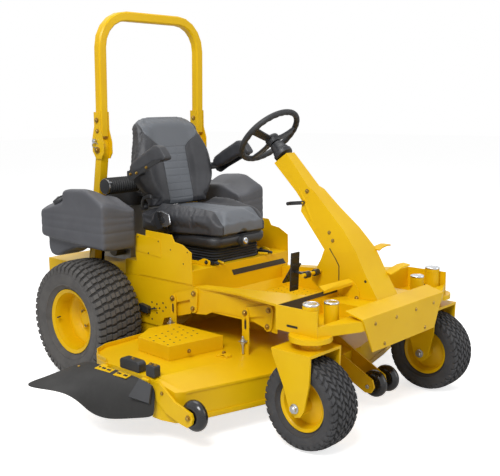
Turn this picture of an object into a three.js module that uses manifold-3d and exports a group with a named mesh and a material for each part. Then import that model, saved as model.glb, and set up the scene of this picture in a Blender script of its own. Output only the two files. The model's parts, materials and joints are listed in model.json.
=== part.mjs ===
// Zero turn mower with a steering wheel, built as an assembly of separate pieces.
// Millimetres, +Z up, the machine faces -Y and its own right side is -X.
// Y = 0 is the rear axle and Z = 0 the ground while the pieces are laid out; the
// finished group is then moved so that its box stands centred on the origin.
import * as THREE from 'three';
import { mergeVertices } from 'three/addons/utils/BufferGeometryUtils.js';
import Module from 'manifold-3d';

const wasm = await Module();
wasm.setup();

// Running and seating clearances
const seatGap = 0.3;
const runGap = 0.5;
const sideGap = 1;
const overrun = 20;
const half = 0.5;
const twice = 2;

// Wheels
const tyreRadius = 311;
const tyreWidth = 263;
const rearFlangeRadius = 168;
const rearBarrelRadius = 152;
const wheelBase = 1433;
const casterTyreRadius = 193;
const casterTyreWidth = 168;
const casterFlangeRadius = 112;
const casterBarrelRadius = 101;
const rearSides = 24;
const casterSides = 18;

// Frame
const railInner = 310;
const railWidth = 50;
const chassisHalf = railInner + railWidth;
const tyreClear = 46;
const rearTrackHalf = chassisHalf + tyreClear + tyreWidth * half;
const railTop = 535;
const railHeight = 107;
const railBottom = railTop - railHeight;
const tailLength = 600;
const tailDepth = 55;
const deckPlateThick = 8;
const memberDepth = 50;

// Seat box
const seatBoxFront = -620;
const seatBoxLength = 510;
const seatBoxRear = seatBoxFront + seatBoxLength;
const seatBoxTop = 612;
const sheet = 4;
const kickDrop = 99;
const kickReach = 35;
const creaseDrop = 60;

// Front yoke
const yokeHalf = 514;
const casterInset = 33;
const casterTrackHalf = yokeHalf - casterInset;
const yokeRear = -1275;
const yokeFront = -1490;
const yokeBottom = 478;
const yokeTop = 583;
const yokeWall = 6;
const lipHeight = 44;
const plateFace = -1580;
const plateHalfLow = 250;
const plateHalfHigh = 326;
const plateBottom = 377;
const plateBend = 531;
const plateThick = 8;
const columnSeat = 545;
const columnHalfLow = 80;

// Roll bar
const ropsInset = 11;
const ropsLegX = chassisHalf - ropsInset;
const ropsTube = 50;
const ropsTop = 1897;
const ropsPivotY = 62;
const ropsPivotZ = 1175;
const ropsLean = 0.0235;
const ropsPostLean = 0.17;
const ropsCorner = 165;
const earThick = 6;
const postWidth = 48;
const legStart = 72;
const earRise = 199;
const earWide = 46;
const pinReach = 18;
const postCrest = 60;
const lockRadius = 6;
const lockRise = 48;
const tankGap = 26;
const tankInner = chassisHalf + tankGap;
const tankDip = 10;
const tankBottom = tyreRadius * twice - tankDip;
const tankPadRise = 188;
const tankPadZ = tankBottom + tankPadRise;
const tankPadHalf = 20;

// Steering
const wheelY = -804;
const wheelZ = 1250;
const wheelRadius = 175;
const gripRadius = 16;
const wheelTilt = THREE.MathUtils.degToRad(45.6);
const shaftRadius = 13;
const shaftLong = 260;

// Seat
const cushionTop = 850;
const cushionBottom = 748;
const cushionFront = -640;
const cushionRear = -98;
const backRise = 510;
const backLean = THREE.MathUtils.degToRad(12.9);
const baseBottom = 690;

// Deck
const deckHalf = 880;
const deckBottom = 108;
const deckTop = 280;
const deckRear = -411;
const deckFront = -1245;
const deckWall = 6;
const deckBend = 240;
const deckSlope = 150;
const slopeStart = deckRear * twice;
const bracketClear = 3;

const yellow = new THREE.MeshStandardMaterial({ color: 0xf2b90c, roughness: 0.35, metalness: 0.1 });
const black = new THREE.MeshStandardMaterial({ color: 0x1c1c1e, roughness: 0.6, metalness: 0.0 });
const charcoal = new THREE.MeshStandardMaterial({ color: 0x35373a, roughness: 0.7, metalness: 0.0 });
const rubber = new THREE.MeshStandardMaterial({ color: 0x18181a, roughness: 0.85, metalness: 0.0 });
const leather = new THREE.MeshStandardMaterial({ color: 0x3a3c40, roughness: 0.65, metalness: 0.0 });
const steel = new THREE.MeshStandardMaterial({ color: 0x9a9ca0, roughness: 0.35, metalness: 0.9 });
const castMetal = new THREE.MeshStandardMaterial({ color: 0x55585c, roughness: 0.5, metalness: 0.7 });

const root = new THREE.Group();

// Solids
// A closed geometry as a manifold solid, and back again.
function solid(geometry) {
  const bare = geometry.clone();
  for (const name of Object.keys(bare.attributes)) {
    if (name !== 'position') bare.deleteAttribute(name);
  }
  const merged = mergeVertices(bare, 0.001);
  return new wasm.Manifold(new wasm.Mesh({
    numProp: 3,
    vertProperties: new Float32Array(merged.attributes.position.array),
    triVerts: new Uint32Array(merged.index.array),
  }));
}

// A solid of a hand-made geometry, its faces turned outwards whichever way they came.
function solidOut(geometry, index) {
  const shape = solid(geometry);
  if (shape.volume() > 0) return shape;
  for (let k = 0; k < index.length; k += 3) [index[k], index[k + 1]] = [index[k + 1], index[k]];
  geometry.setIndex(index);
  return solid(geometry);
}

function addPiece(name, shape, material) {
  const data = shape.getMesh();
  const geometry = new THREE.BufferGeometry();
  geometry.setAttribute('position', new THREE.BufferAttribute(new Float32Array(data.vertProperties), 3));
  geometry.setIndex(new THREE.BufferAttribute(new Uint32Array(data.triVerts), 1));
  geometry.computeVertexNormals();
  const mesh = new THREE.Mesh(geometry, material);
  mesh.name = name;
  root.add(mesh);
}

function join(...shapes) {
  return shapes.reduce((all, next) => all.add(next));
}

function cut(body, ...tools) {
  return tools.reduce((all, next) => all.subtract(next), body);
}

// A block between two corners.
function block(x0, x1, y0, y1, z0, z1) {
  const geometry = new THREE.BoxGeometry(Math.abs(x1 - x0), Math.abs(y1 - y0), Math.abs(z1 - z0));
  geometry.translate((x0 + x1) * half, (y0 + y1) * half, (z0 + z1) * half);
  return solid(geometry);
}

// A prism of a flat outline: axis x takes (y, z) points, y takes (x, z), z takes (x, y).
function prism(axis, points, low, high, bevel = 0, steps = 2) {
  const shape = new THREE.Shape(points.map(([u, v]) => new THREE.Vector2(u, v)));
  const geometry = new THREE.ExtrudeGeometry(shape, {
    depth: high - low - twice * bevel,
    bevelEnabled: bevel > 0,
    bevelSize: bevel,
    bevelOffset: -bevel,
    bevelThickness: bevel,
    bevelSegments: steps,
    curveSegments: 6,
  });
  geometry.translate(0, 0, low + bevel);
  const turn = new THREE.Matrix4();
  if (axis === 'x') turn.set(0, 0, 1, 0, 1, 0, 0, 0, 0, 1, 0, 0, 0, 0, 0, 1);
  if (axis === 'y') turn.set(1, 0, 0, 0, 0, 0, -1, 0, 0, 1, 0, 0, 0, 0, 0, 1);
  geometry.applyMatrix4(turn);
  if (axis === 'y') geometry.translate(0, low + high, 0);
  return solid(geometry);
}

// A cylinder along an axis, from low to high, about the point (u, v) of the other two.
function rod(axis, u, v, radius, low, high, sides = 14) {
  const geometry = new THREE.CylinderGeometry(radius, radius, high - low, sides);
  if (axis === 'x') {
    geometry.rotateZ(-Math.PI * half);
    geometry.translate((low + high) * half, u, v);
  } else if (axis === 'y') {
    geometry.translate(u, (low + high) * half, v);
  } else {
    geometry.rotateX(Math.PI * half);
    geometry.translate(u, v, (low + high) * half);
  }
  return solid(geometry);
}

// A turned ring or disc about X through (y, z); the profile holds (radius, x) points.
function turned(profile, y, z, sides) {
  const points = profile.map(([radius, along]) => new THREE.Vector2(radius, along));
  points.push(points[0].clone());
  const flat = Math.cos(Math.PI / sides);
  const geometry = new THREE.LatheGeometry(points, sides, Math.PI / sides);
  geometry.scale(1 / flat, 1, 1 / flat);
  geometry.rotateZ(-Math.PI * half);
  const shape = solid(geometry);
  const body = shape.volume() < 0 ? solid(geometry.scale(1, 1, -1)) : shape;
  return body.translate([0, y, z]);
}

// Two points and a thickness as a bar in the (y, z) plane with rounded ends.
function barOutline(y0, z0, y1, z1, radius) {
  const along = Math.atan2(z1 - z0, y1 - y0);
  const points = [];
  const steps = 4;
  for (let i = 0; i <= steps; i += 1) {
    const turn = along + Math.PI * half - Math.PI * i / steps;
    points.push([y1 + radius * Math.cos(turn), z1 + radius * Math.sin(turn)]);
  }
  for (let i = 0; i <= steps; i += 1) {
    const turn = along - Math.PI * half - Math.PI * i / steps;
    points.push([y0 + radius * Math.cos(turn), z0 + radius * Math.sin(turn)]);
  }
  return points.reverse();
}

// Shares of a length and a height laid out from a corner.
function spread(shares, u0, length, v0, height) {
  return shares.map(([u, v]) => [u0 + u * length, v0 + v * height]);
}

function mirrored(shape, side) {
  return side < 0 ? shape : shape.mirror([1, 0, 0]);
}

// A padded solid: a grid of columns u = -1..1 and rows v = 0..1 with a front and a
// back height over each place, closed round its edge with a drawn-in middle ring.
function padded({ columns, rows, halfWidth, across, front, back, drawIn, place }) {
  const us = columns;
  const vs = rows;
  const positions = [];
  const put = (x, along, height) => {
    const p = place(x, along, height);
    positions.push(p.x, p.y, p.z);
    return positions.length / 3 - 1;
  };
  const top = vs.map((v) => us.map((u) => put(u * halfWidth(v), across(v), front(u, v))));
  const low = vs.map((v) => us.map((u) => put(u * halfWidth(v), across(v), back(u, v))));
  const index = [];
  const quad = (a, b, c, d) => index.push(a, b, c, a, c, d);
  for (let j = 0; j < vs.length - 1; j += 1) {
    for (let i = 0; i < us.length - 1; i += 1) {
      quad(top[j][i], top[j][i + 1], top[j + 1][i + 1], top[j + 1][i]);
      quad(low[j][i], low[j + 1][i], low[j + 1][i + 1], low[j][i + 1]);
    }
  }
  const edge = [];
  const lastRow = vs.length - 1;
  const lastColumn = us.length - 1;
  for (let i = 0; i < lastColumn; i += 1) edge.push([0, i]);
  for (let j = 0; j < lastRow; j += 1) edge.push([j, lastColumn]);
  for (let i = lastColumn; i > 0; i -= 1) edge.push([lastRow, i]);
  for (let j = lastRow; j > 0; j -= 1) edge.push([j, 0]);
  const middle = edge.map(([j, i]) => {
    const u = us[i];
    const v = vs[j];
    const w = halfWidth(v);
    const inward = Math.abs(u) > 1 - 1e-6 ? Math.sign(u) * drawIn : 0;
    const lift = j === 0 ? drawIn : j === lastRow ? -drawIn : 0;
    return put(u * w - inward, across(v) + lift, (front(u, v) + back(u, v)) * half);
  });
  edge.forEach(([j, i], k) => {
    const next = (k + 1) % edge.length;
    const [jn, iN] = edge[next];
    quad(top[j][i], middle[k], middle[next], top[jn][iN]);
    quad(middle[k], low[j][i], low[jn][iN], middle[next]);
  });
  const geometry = new THREE.BufferGeometry();
  geometry.setAttribute('position', new THREE.Float32BufferAttribute(positions, 3));
  geometry.setIndex(index);
  return solidOut(geometry, index);
}

// Main frame
const crankClear = 6;
const crankArmInner = chassisHalf + crankClear;
const crankArmThick = 8;
const frontCrankY = -1116;
const frontCrankZ = 503;
const rearCrankY = -640;
const rearCrankZ = 507;
const crankStub = 14;
const postFootY = ropsPivotY + (ropsPivotZ - railTop) * ropsPostLean;
const postInner = ropsLegX - postWidth * half;
const postOuter = ropsLegX + postWidth * half;
const postDepth = 50;
const footLength = 110;
const footThick = 8;
const transaxleRear = 80;
const hangerThick = 10;
const hangerInner = 180;
const hangerBottom = 250;
const skirtRear = -170;
const skirtLength = 430;
const skirtBottom = 294;
const skirtThick = 6;
const skirtShares = [[0, 1], [0, 0.3], [0.08, 0], [0.5, 0], [0.54, 0.34], [0.78, 0.55], [1, 0.75], [1, 1]];
{
  const pieces = [];
  const bores = [];
  for (const side of [-1, 1]) {
    pieces.push(block(side * railInner, side * chassisHalf, yokeRear + seatGap, tailLength, railBottom,
      railTop));
    pieces.push(block(side * railInner, side * (postOuter + footThick), postFootY - footLength * half,
      postFootY + footLength * half, railTop - footThick, railTop + footThick));
    pieces.push(block(side * hangerInner, side * (railInner + footThick), transaxleRear,
      transaxleRear + hangerThick, hangerBottom, railBottom + hangerThick));
    for (const [y, z] of [[frontCrankY, frontCrankZ], [rearCrankY, rearCrankZ]]) {
      bores.push(rod('x', y, z, crankStub + runGap, side > 0 ? railInner - overrun : -chassisHalf - overrun,
        side > 0 ? chassisHalf + overrun : -railInner + overrun));
    }
  }
  // A plate hangs from each rail in front of the rear tyre and stops above the lifted deck.
  const skirt = spread(skirtShares, skirtRear, -skirtLength, skirtBottom, railBottom + sheet - skirtBottom);
  for (const side of [-1, 1]) {
    pieces.push(mirrored(prism('x', signed(skirt), -chassisHalf, -chassisHalf + skirtThick), side));
  }
  pieces.push(block(-chassisHalf, chassisHalf, tailLength - tailDepth, tailLength, railBottom, railTop));
  pieces.push(block(-railInner, railInner, seatBoxRear - memberDepth, seatBoxRear, railBottom, railTop));
  pieces.push(block(-railInner, railInner, seatBoxRear - memberDepth, tailLength - tailDepth,
    railTop - deckPlateThick, railTop));
  addPiece('main_frame', cut(join(...pieces), ...bores), yellow);
}

// Floor pan
const floorZ = 430;
const panThick = 5;
const panHalf = railInner - seatGap;
const panRear = seatBoxFront - kickReach - seatGap;
const footRise = 142;
const riseStart = -1060;
const panFront = yokeRear + seatGap;
const wingInset = 9;
const wingOuter = yokeHalf - wingInset;
const wingLip = 12;
const wingRise = 42;
const notchDepth = 75;
const wingShares = [[0, 0], [0.25, 0.08], [0.5, 0.28], [0.75, 0.65], [0.92, 0.9], [1, 1]];
{
  const under = [[panRear, floorZ], [riseStart, floorZ], [panFront, floorZ + footRise]];
  const over = under.map(([y, z]) => [y, z + panThick]).reverse();
  const parts = [prism('x', [...under, ...over].reverse(), -panHalf, panHalf)];
  const wingTop = railTop + seatGap + panThick;
  const wallTop = [[panRear, wingTop], [panFront, wingTop + wingRise]];
  for (const side of [-1, 1]) {
    const wall = prism('x', [[panRear, floorZ], [panRear, wallTop[0][1]], [panFront, wallTop[1][1]],
      [panFront, floorZ + footRise], [riseStart, floorZ]], side > 0 ? panHalf - panThick : -panHalf,
    side > 0 ? panHalf : -panHalf + panThick);
    parts.push(wall);
    const outer = wingShares.map(([along, out]) => [
      chassisHalf + out * (wingOuter - chassisHalf), panRear + along * (panFront - panRear)]);
    const plan = [[panHalf - panThick, panRear], ...outer, [panHalf - panThick, panFront]];
    const lipInner = outer.map(([x, y]) => [x - panThick, y]).reverse();
    const sheetWing = prism('z', plan, wingTop - panThick, wingTop);
    const lip = prism('z', [...outer, ...lipInner], wingTop - wingLip, wingTop);
    const clear = block(railInner - overrun, chassisHalf + sideGap, panRear + overrun, panFront - overrun,
      railBottom, railTop + seatGap);
    const wing = cut(join(sheetWing, lip), clear);
    const slope = wingRise / (panFront - panRear);
    const raised = wing.warp((p) => { p[2] += (p[1] - panRear) * slope; });
    parts.push(mirrored(raised, -side));
  }
  const notch = block(-columnHalfLow - sideGap, columnHalfLow + sideGap, panFront - overrun,
    panFront + notchDepth,
    floorZ, columnSeat + overrun * twice);
  addPiece('floor_pan', cut(join(...parts), notch), yellow);
}

// Seat box and console panels
const boxHalf = chassisHalf - seatGap;
const creaseZ = railTop - creaseDrop;
const consoleBottom = 544;
const consoleHeight = 237;
const consoleRear = -199;
const consoleLength = 421;
const sidePanelShares = [
  [0.0, 0.435], [0.014, 0.865], [0.2, 0.865], [0.204, 1.0], [0.667, 0.975], [0.715, 0.835],
  [0.85, 0.797], [0.995, 0.658], [1.0, 0.0], [0.074, 0.0],
];
{
  const foot = railTop + seatGap;
  const shell = block(-boxHalf, boxHalf, seatBoxFront, seatBoxRear, foot, seatBoxTop);
  const inside = block(-boxHalf + sheet, boxHalf - sheet, seatBoxFront + sheet, seatBoxRear - sheet,
    foot - overrun, seatBoxTop - sheet);
  const kick = [[seatBoxFront, foot + sheet], [seatBoxFront, creaseZ],
    [seatBoxFront - kickReach, creaseZ - kickDrop * half],
    [seatBoxFront - kickReach + sheet, creaseZ - kickDrop * half], [seatBoxFront + sheet, creaseZ],
    [seatBoxFront + sheet, foot + sheet]];
  const apron = prism('x', kick, -panHalf, panHalf);
  addPiece('seat_box', join(cut(shell, inside), apron), yellow);
  const outline = spread(sidePanelShares, consoleRear, -consoleLength, consoleBottom, consoleHeight);
  for (const side of [-1, 1]) {
    const panel = prism('x', outline, -chassisHalf - sheet, -chassisHalf);
    addPiece(side < 0 ? 'side_panel_right' : 'side_panel_left', mirrored(panel, side), yellow);
  }
}

// Front yoke, plate and forks
const discRadius = 90;
const discDrop = 22;
const housingRadius = 34;
const stemRadius = 18;
const housingTop = yokeTop;
const capRadius = 35;
const capHeight = 14;
const innerHousingX = 341;
const innerHousingDrop = 5;
const innerHousingTop = housingTop - innerHousingDrop;
const innerHousingRadius = 32;
const bridgeHalf = 200;
const slotRear = -1334;
const slotFront = -1392;
const slotBottom = 499;
const slotHeight = 10;
const pinClear = stemRadius + runGap;
{
  const parts = [
    block(-yokeHalf, yokeHalf, yokeRear - yokeWall, yokeRear, yokeBottom, yokeTop),
    block(-yokeHalf, yokeHalf, yokeFront, yokeRear, yokeBottom, yokeBottom + yokeWall),
    block(-yokeHalf, yokeHalf, yokeFront, yokeFront + yokeWall, yokeBottom, yokeBottom + lipHeight),
    block(-bridgeHalf, bridgeHalf, yokeFront, yokeRear, columnSeat - seatGap - yokeWall,
      columnSeat - seatGap),
  ];
  const tools = [block(-bridgeHalf + yokeWall, bridgeHalf - yokeWall, yokeFront + yokeWall,
    yokeRear - yokeWall,
    yokeBottom - overrun, yokeBottom + overrun), block(-columnHalfLow - sideGap, columnHalfLow + sideGap,
    yokeFront, yokeRear + overrun, columnSeat - seatGap, yokeTop + overrun)];
  for (const side of [-1, 1]) {
    const x = side * casterTrackHalf;
    parts.push(block(side * (yokeHalf - yokeWall), side * yokeHalf, yokeFront, yokeRear, yokeBottom,
      yokeTop));
    parts.push(block(side * (bridgeHalf - yokeWall), side * bridgeHalf, yokeFront, yokeRear, yokeBottom,
      columnSeat - seatGap));
    parts.push(rod('z', x, -wheelBase, housingRadius, yokeBottom, housingTop));
    parts.push(rod('z', x, -wheelBase, discRadius, yokeBottom - discDrop, yokeBottom, 20));
    parts.push(rod('z', side * innerHousingX, -wheelBase, innerHousingRadius, yokeBottom, innerHousingTop));
    const lip = [[side * yokeHalf, yokeFront + yokeWall],
      [side * plateHalfHigh, plateFace + plateThick + seatGap],
      [side * plateHalfLow, plateFace + plateThick + seatGap], [side * plateHalfLow, yokeFront + yokeWall]];
    parts.push(prism('z', side > 0 ? lip.reverse() : lip, yokeBottom, yokeBottom + lipHeight));
    tools.push(rod('z', x, -wheelBase, pinClear, yokeBottom - discDrop - overrun, housingTop + overrun));
    tools.push(block(side * (yokeHalf - overrun), side * (yokeHalf + overrun), slotFront, slotRear,
      slotBottom,
      slotBottom + slotHeight));
  }
  addPiece('front_yoke', cut(join(...parts), ...tools), yellow);
}
{
  const face = [[-plateHalfLow, plateBottom], [plateHalfLow, plateBottom], [plateHalfHigh, plateBend],
    [-plateHalfHigh, plateBend]];
  const front = prism('y', face, plateFace, plateFace + plateThick);
  const flangeEnd = yokeFront - plateThick * 0.35;
  const flangeRise = plateThick * 3;
  const flange = prism('x', [[plateFace, plateBend - plateThick], [flangeEnd,
    plateBend + flangeRise - plateThick],
    [flangeEnd, plateBend + flangeRise], [plateFace, plateBend]].reverse(), -plateHalfHigh, plateHalfHigh);
  addPiece('front_plate', join(front, flange), yellow);
}
const forkBottom = 155;
const crownTop = 424;
const crownThick = 12;
const crownHalf = 104;
const legThick = 10;
const legRear = -1311;
const forkDepth = 199;
const spindleRadius = 12;
const forkLegShares = [
  [0.0, 1.0], [0.025, 0.896], [0.307, 0.457], [0.427, 0.186], [0.472, 0.071], [0.613, 0.0],
  [0.754, 0.026], [0.844, 0.13], [0.97, 0.539], [1.0, 1.0],
];
const rimHub = 30;
{
  const leg = spread(forkLegShares, legRear, -forkDepth, forkBottom, crownTop - forkBottom);
  for (const side of [-1, 1]) {
    const x = side * casterTrackHalf;
    const name = side < 0 ? 'right' : 'left';
    const stemBottom = crownTop - crownThick;
    const parts = [
      block(x - crownHalf, x + crownHalf, legRear - forkDepth, legRear, crownTop - crownThick, crownTop),
      prism('x', leg, x - crownHalf, x - crownHalf + legThick),
      prism('x', leg, x + crownHalf - legThick, x + crownHalf),
      rod('x', -wheelBase, casterTyreRadius, spindleRadius, x - crownHalf, x + crownHalf, 16),
      rod('z', x, -wheelBase, discRadius * half, stemBottom, yokeBottom - discDrop - runGap),
      rod('z', x, -wheelBase, stemRadius, stemBottom, housingTop + capHeight),
      rod('z', x, -wheelBase, capRadius, housingTop + runGap, housingTop + capHeight),
    ];
    addPiece(`caster_fork_${name}`, join(...parts), yellow);
    const rimHalf = casterTyreWidth * 0.36;
    const flangeWide = 6;
    const bore = spindleRadius + runGap;
    const hubHalf = crownHalf - legThick - runGap;
    const webHalf = 12;
    const barrelThin = 12;
    const rim = [
      [bore, -hubHalf], [rimHub, -hubHalf], [rimHub, -webHalf], [casterBarrelRadius - barrelThin, -webHalf],
      [casterBarrelRadius - barrelThin, -rimHalf], [casterFlangeRadius, -rimHalf],
      [casterFlangeRadius, -rimHalf + flangeWide], [casterBarrelRadius, -rimHalf + flangeWide],
      [casterBarrelRadius, rimHalf - flangeWide], [casterFlangeRadius, rimHalf - flangeWide],
      [casterFlangeRadius, rimHalf], [casterBarrelRadius - barrelThin, rimHalf],
      [casterBarrelRadius - barrelThin, webHalf], [rimHub, webHalf], [rimHub, hubHalf], [bore, hubHalf],
    ];
    addPiece(`caster_rim_${name}`, turned(rim, -wheelBase, casterTyreRadius, casterSides).translate([x, 0,
      0]), yellow);
    const bead = rimHalf - flangeWide - seatGap;
    const outer = casterFlangeRadius + sideGap;
    const wide = casterTyreWidth * half;
    const tyre = [
      [casterBarrelRadius + seatGap, -bead], [outer, -bead], [outer, -rimHalf], [casterTyreRadius * 0.78,
        -wide],
      [casterTyreRadius * 0.93, -wide * 0.92], [casterTyreRadius, -wide * 0.6],
      [casterTyreRadius, wide * 0.6], [casterTyreRadius * 0.93, wide * 0.92],
      [casterTyreRadius * 0.78, wide], [outer, rimHalf], [outer, bead], [casterBarrelRadius + seatGap, bead],
    ];
    addPiece(`caster_tyre_${name}`, turned(tyre, -wheelBase, casterTyreRadius, casterSides).translate([x, 0,
      0]), rubber);
  }
}

// Rear wheels and drive
const axleRadius = 28;
const axleInner = 200;
const axleTube = 45;
const tubeEnd = 398;
{
  for (const side of [-1, 1]) {
    const name = side < 0 ? 'right' : 'left';
    const rimHalf = tyreWidth * 0.4;
    const flangeWide = 8;
    const hubEnd = 60;
    const webOut = -22;
    const webIn = -34;
    const barrelThin = 8;
    const hubRadius = 70;
    const rim = [
      [0, axleInner - rearTrackHalf], [axleRadius, axleInner - rearTrackHalf], [axleRadius, webIn - hubEnd],
      [hubRadius, webIn - hubEnd], [hubRadius, webIn], [rearBarrelRadius - barrelThin, webIn],
      [rearBarrelRadius - barrelThin, -rimHalf], [rearFlangeRadius, -rimHalf], [rearFlangeRadius,
        -rimHalf + flangeWide],
      [rearBarrelRadius, -rimHalf + flangeWide], [rearBarrelRadius, rimHalf - flangeWide],
      [rearFlangeRadius, rimHalf - flangeWide], [rearFlangeRadius, rimHalf], [rearBarrelRadius - barrelThin,
        rimHalf],
      [rearBarrelRadius - barrelThin, webOut], [hubRadius, webOut], [hubRadius * half, webOut + flangeWide],
      [0, webOut + flangeWide],
    ];
    const points = rim.map(([radius, along]) => new THREE.Vector2(radius, along));
    const flat = Math.cos(Math.PI / rearSides);
    const geometry = new THREE.LatheGeometry(points, rearSides, Math.PI / rearSides);
    geometry.scale(1 / flat, 1, 1 / flat);
    geometry.rotateZ(-Math.PI * half);
    let shape = solid(geometry);
    if (shape.volume() < 0) shape = solid(geometry.scale(1, 1, -1));
    const outward = side > 0 ? shape : shape.mirror([1, 0, 0]);
    addPiece(`rear_rim_${name}`, outward.translate([side * rearTrackHalf, 0, tyreRadius]), yellow);
    const bead = rimHalf - flangeWide - seatGap;
    const outer = rearFlangeRadius + sideGap;
    const wide = tyreWidth * half;
    const tyre = [
      [rearBarrelRadius + seatGap, -bead], [outer, -bead], [outer, -rimHalf], [tyreRadius * 0.75, -wide],
      [tyreRadius * 0.9, -wide * 0.97], [tyreRadius * 0.975, -wide * 0.82],
      [tyreRadius, -wide * 0.55],
      [tyreRadius, wide * 0.55], [tyreRadius * 0.975, wide * 0.82],
      [tyreRadius * 0.9, wide * 0.97], [tyreRadius * 0.75, wide],
      [outer, rimHalf], [outer, bead], [rearBarrelRadius + seatGap, bead],
    ];
    addPiece(`rear_tyre_${name}`, turned(tyre, 0, tyreRadius, rearSides).translate([side * rearTrackHalf, 0,
      0]), rubber);
  }
  const caseTop = railBottom - memberDepth * 0.3;
  const caseDrop = 85;
  const caseBottom = tyreRadius - caseDrop;
  const parts = [
    block(-railInner + overrun, railInner - overrun, -transaxleRear, transaxleRear - seatGap, caseBottom,
      caseTop),
    rod('x', 0, tyreRadius, axleTube, -tubeEnd, tubeEnd, 24),
    rod('z', 0, 0, axleTube, caseTop - overrun, railTop - deckPlateThick - seatGap),
  ];
  const bore = join(rod('x', 0, tyreRadius, axleRadius + runGap, axleInner - runGap, tubeEnd + overrun, 24),
    rod('x', 0, tyreRadius, axleRadius + runGap, -tubeEnd - overrun, -axleInner + runGap, 24));
  addPiece('transaxle', cut(join(...parts), bore), castMetal);
}

// Roll bar
{
  const legLow = ropsPivotZ + legStart;
  const straightTop = ropsTop - ropsTube * half - ropsCorner;
  const bends = 5;
  const stations = [];
  const collect = (x, z, dx, dz) => stations.push([x, z, dx, dz]);
  collect(-ropsLegX, legLow, 0, 1);
  for (let i = 0; i <= bends; i += 1) {
    const turn = Math.PI * half * i / bends;
    collect(-ropsLegX + ropsCorner * (1 - Math.cos(turn)), straightTop + ropsCorner * Math.sin(turn),
      Math.sin(turn), Math.cos(turn));
  }
  for (let i = bends; i >= 0; i -= 1) {
    const turn = Math.PI * half * i / bends;
    collect(ropsLegX - ropsCorner * (1 - Math.cos(turn)), straightTop + ropsCorner * Math.sin(turn),
      Math.sin(turn), -Math.cos(turn));
  }
  collect(ropsLegX, legLow, 0, -1);
  // The tube's square section with broken corners, swept through the stations.
  const h = ropsTube * half;
  const c = ropsTube * 0.14;
  const section = [[h, h - c], [h - c, h], [-h + c, h], [-h, h - c], [-h, -h + c], [-h + c, -h], [h - c, -h],
    [h, -h + c]];
  const positions = [];
  const index = [];
  stations.forEach(([x, z, dx, dz]) => section.forEach(([n, y]) => positions.push(x - n * dz, y,
    z + n * dx)));
  const ring = section.length;
  for (let k = 0; k < stations.length - 1; k += 1) {
    for (let i = 0; i < ring; i += 1) {
      const a = k * ring + i;
      const b = k * ring + (i + 1) % ring;
      index.push(a, b, b + ring, a, b + ring, a + ring);
    }
  }
  const last = (stations.length - 1) * ring;
  for (let i = 1; i < ring - 1; i += 1) {
    index.push(0, i + 1, i);
    index.push(last, last + i, last + i + 1);
  }
  const tube = new THREE.BufferGeometry();
  tube.setAttribute('position', new THREE.Float32BufferAttribute(positions, 3));
  tube.setIndex(index);
  const hoop = solidOut(tube, index).warp((p) => { p[1] -= (p[2] - ropsPivotZ) * ropsLean; });
  const earTop = ropsPivotZ + earRise;
  const earLow = ropsPivotZ - earWide;
  const earShares = [
    [-0.55, 1.0], [-0.55, 0.62], [-1.0, 0.36], [-1.0, 0.12], [-0.55, 0.0], [0.4, 0.0], [1.0, 0.16], [1.0,
      0.42],
    [0.55, 0.7], [0.55, 1.0],
  ];
  const ears = [];
  const holes = [];
  const lockY = ropsPivotY + lockRise * 0.3;
  const lockZ = ropsPivotZ + lockRise;
  for (const side of [-1, 1]) {
    for (const inner of [ropsLegX - h - earThick, ropsLegX + h]) {
      const ear = prism('x', spread(earShares, 0, earWide, earLow, earTop - earLow).reverse(),
        -inner - earThick, -inner);
      ears.push(mirrored(ear, side));
    }
    holes.push(rod('x', lockY - ropsPivotY, lockZ, lockRadius + runGap,
      side * ropsLegX - ropsTube, side * ropsLegX + ropsTube, 12));
  }
  // Pivot bolts join the ears to the tube's post.
  const bolts = [-1, 1].map((side) => rod('x', 0, ropsPivotZ, crankStub * 0.7, side * ropsLegX - h - earThick,
    side * ropsLegX + h + earThick, 16));
  addPiece('rops_hoop', cut(join(hoop, ...ears), ...holes).add(bolts[0]).add(bolts[1]).translate([0,
    ropsPivotY, 0]), yellow);
  for (const side of [-1, 1]) {
    const name = side < 0 ? 'right' : 'left';
    const footZ = railTop + footThick + seatGap;
    const slant = [[-postDepth * half, ropsPivotZ], [-postDepth * half, footZ], [postDepth * half, footZ],
      [postDepth * half, ropsPivotZ]];
    const slanted = slant.map(([y, z]) => [y + ropsPivotY + (ropsPivotZ - z) * ropsPostLean, z]);
    const crest = [];
    for (let i = 0; i <= 6; i += 1) {
      const turn = Math.PI * i / 6;
      crest.push([ropsPivotY + postDepth * half * Math.cos(turn), ropsPivotZ + postCrest * Math.sin(turn)]);
    }
    const outline = [slanted[1], slanted[2], ...crest];
    const post = prism('x', outline, -postOuter, -postInner);
    const base = block(-postOuter, -postInner, postFootY - footLength * half, postFootY + footLength * half,
      footZ, footZ + footThick);
    const boltHole = rod('x', ropsPivotY, ropsPivotZ, crankStub * 0.7 + runGap, -postOuter - overrun,
      -postInner + overrun, 16);
    const lockHole = rod('x', lockY, lockZ, lockRadius + runGap, -postOuter - overrun, -postInner + overrun,
      12);
    const padY = ropsPivotY + (ropsPivotZ - tankPadZ) * ropsPostLean;
    const tankPad = block(-tankInner + seatGap, -postInner, padY - tankPadHalf, padY + tankPadHalf,
      tankPadZ - tankPadHalf, tankPadZ + tankPadHalf);
    addPiece(`rops_post_${name}`, mirrored(cut(join(post, base, tankPad), boltHole, lockHole), side), yellow);
    const pinOut = ropsLegX + h + earThick + pinReach;
    const pin = join(
      rod('x', lockY, lockZ, lockRadius, -pinOut, -ropsLegX - h, 12),
      rod('x', lockY, lockZ, lockRadius * twice, -pinOut, -ropsLegX - h - earThick - runGap, 12),
    );
    addPiece(`rops_pin_${name}`, mirrored(pin, side), steel);
  }
}

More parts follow.
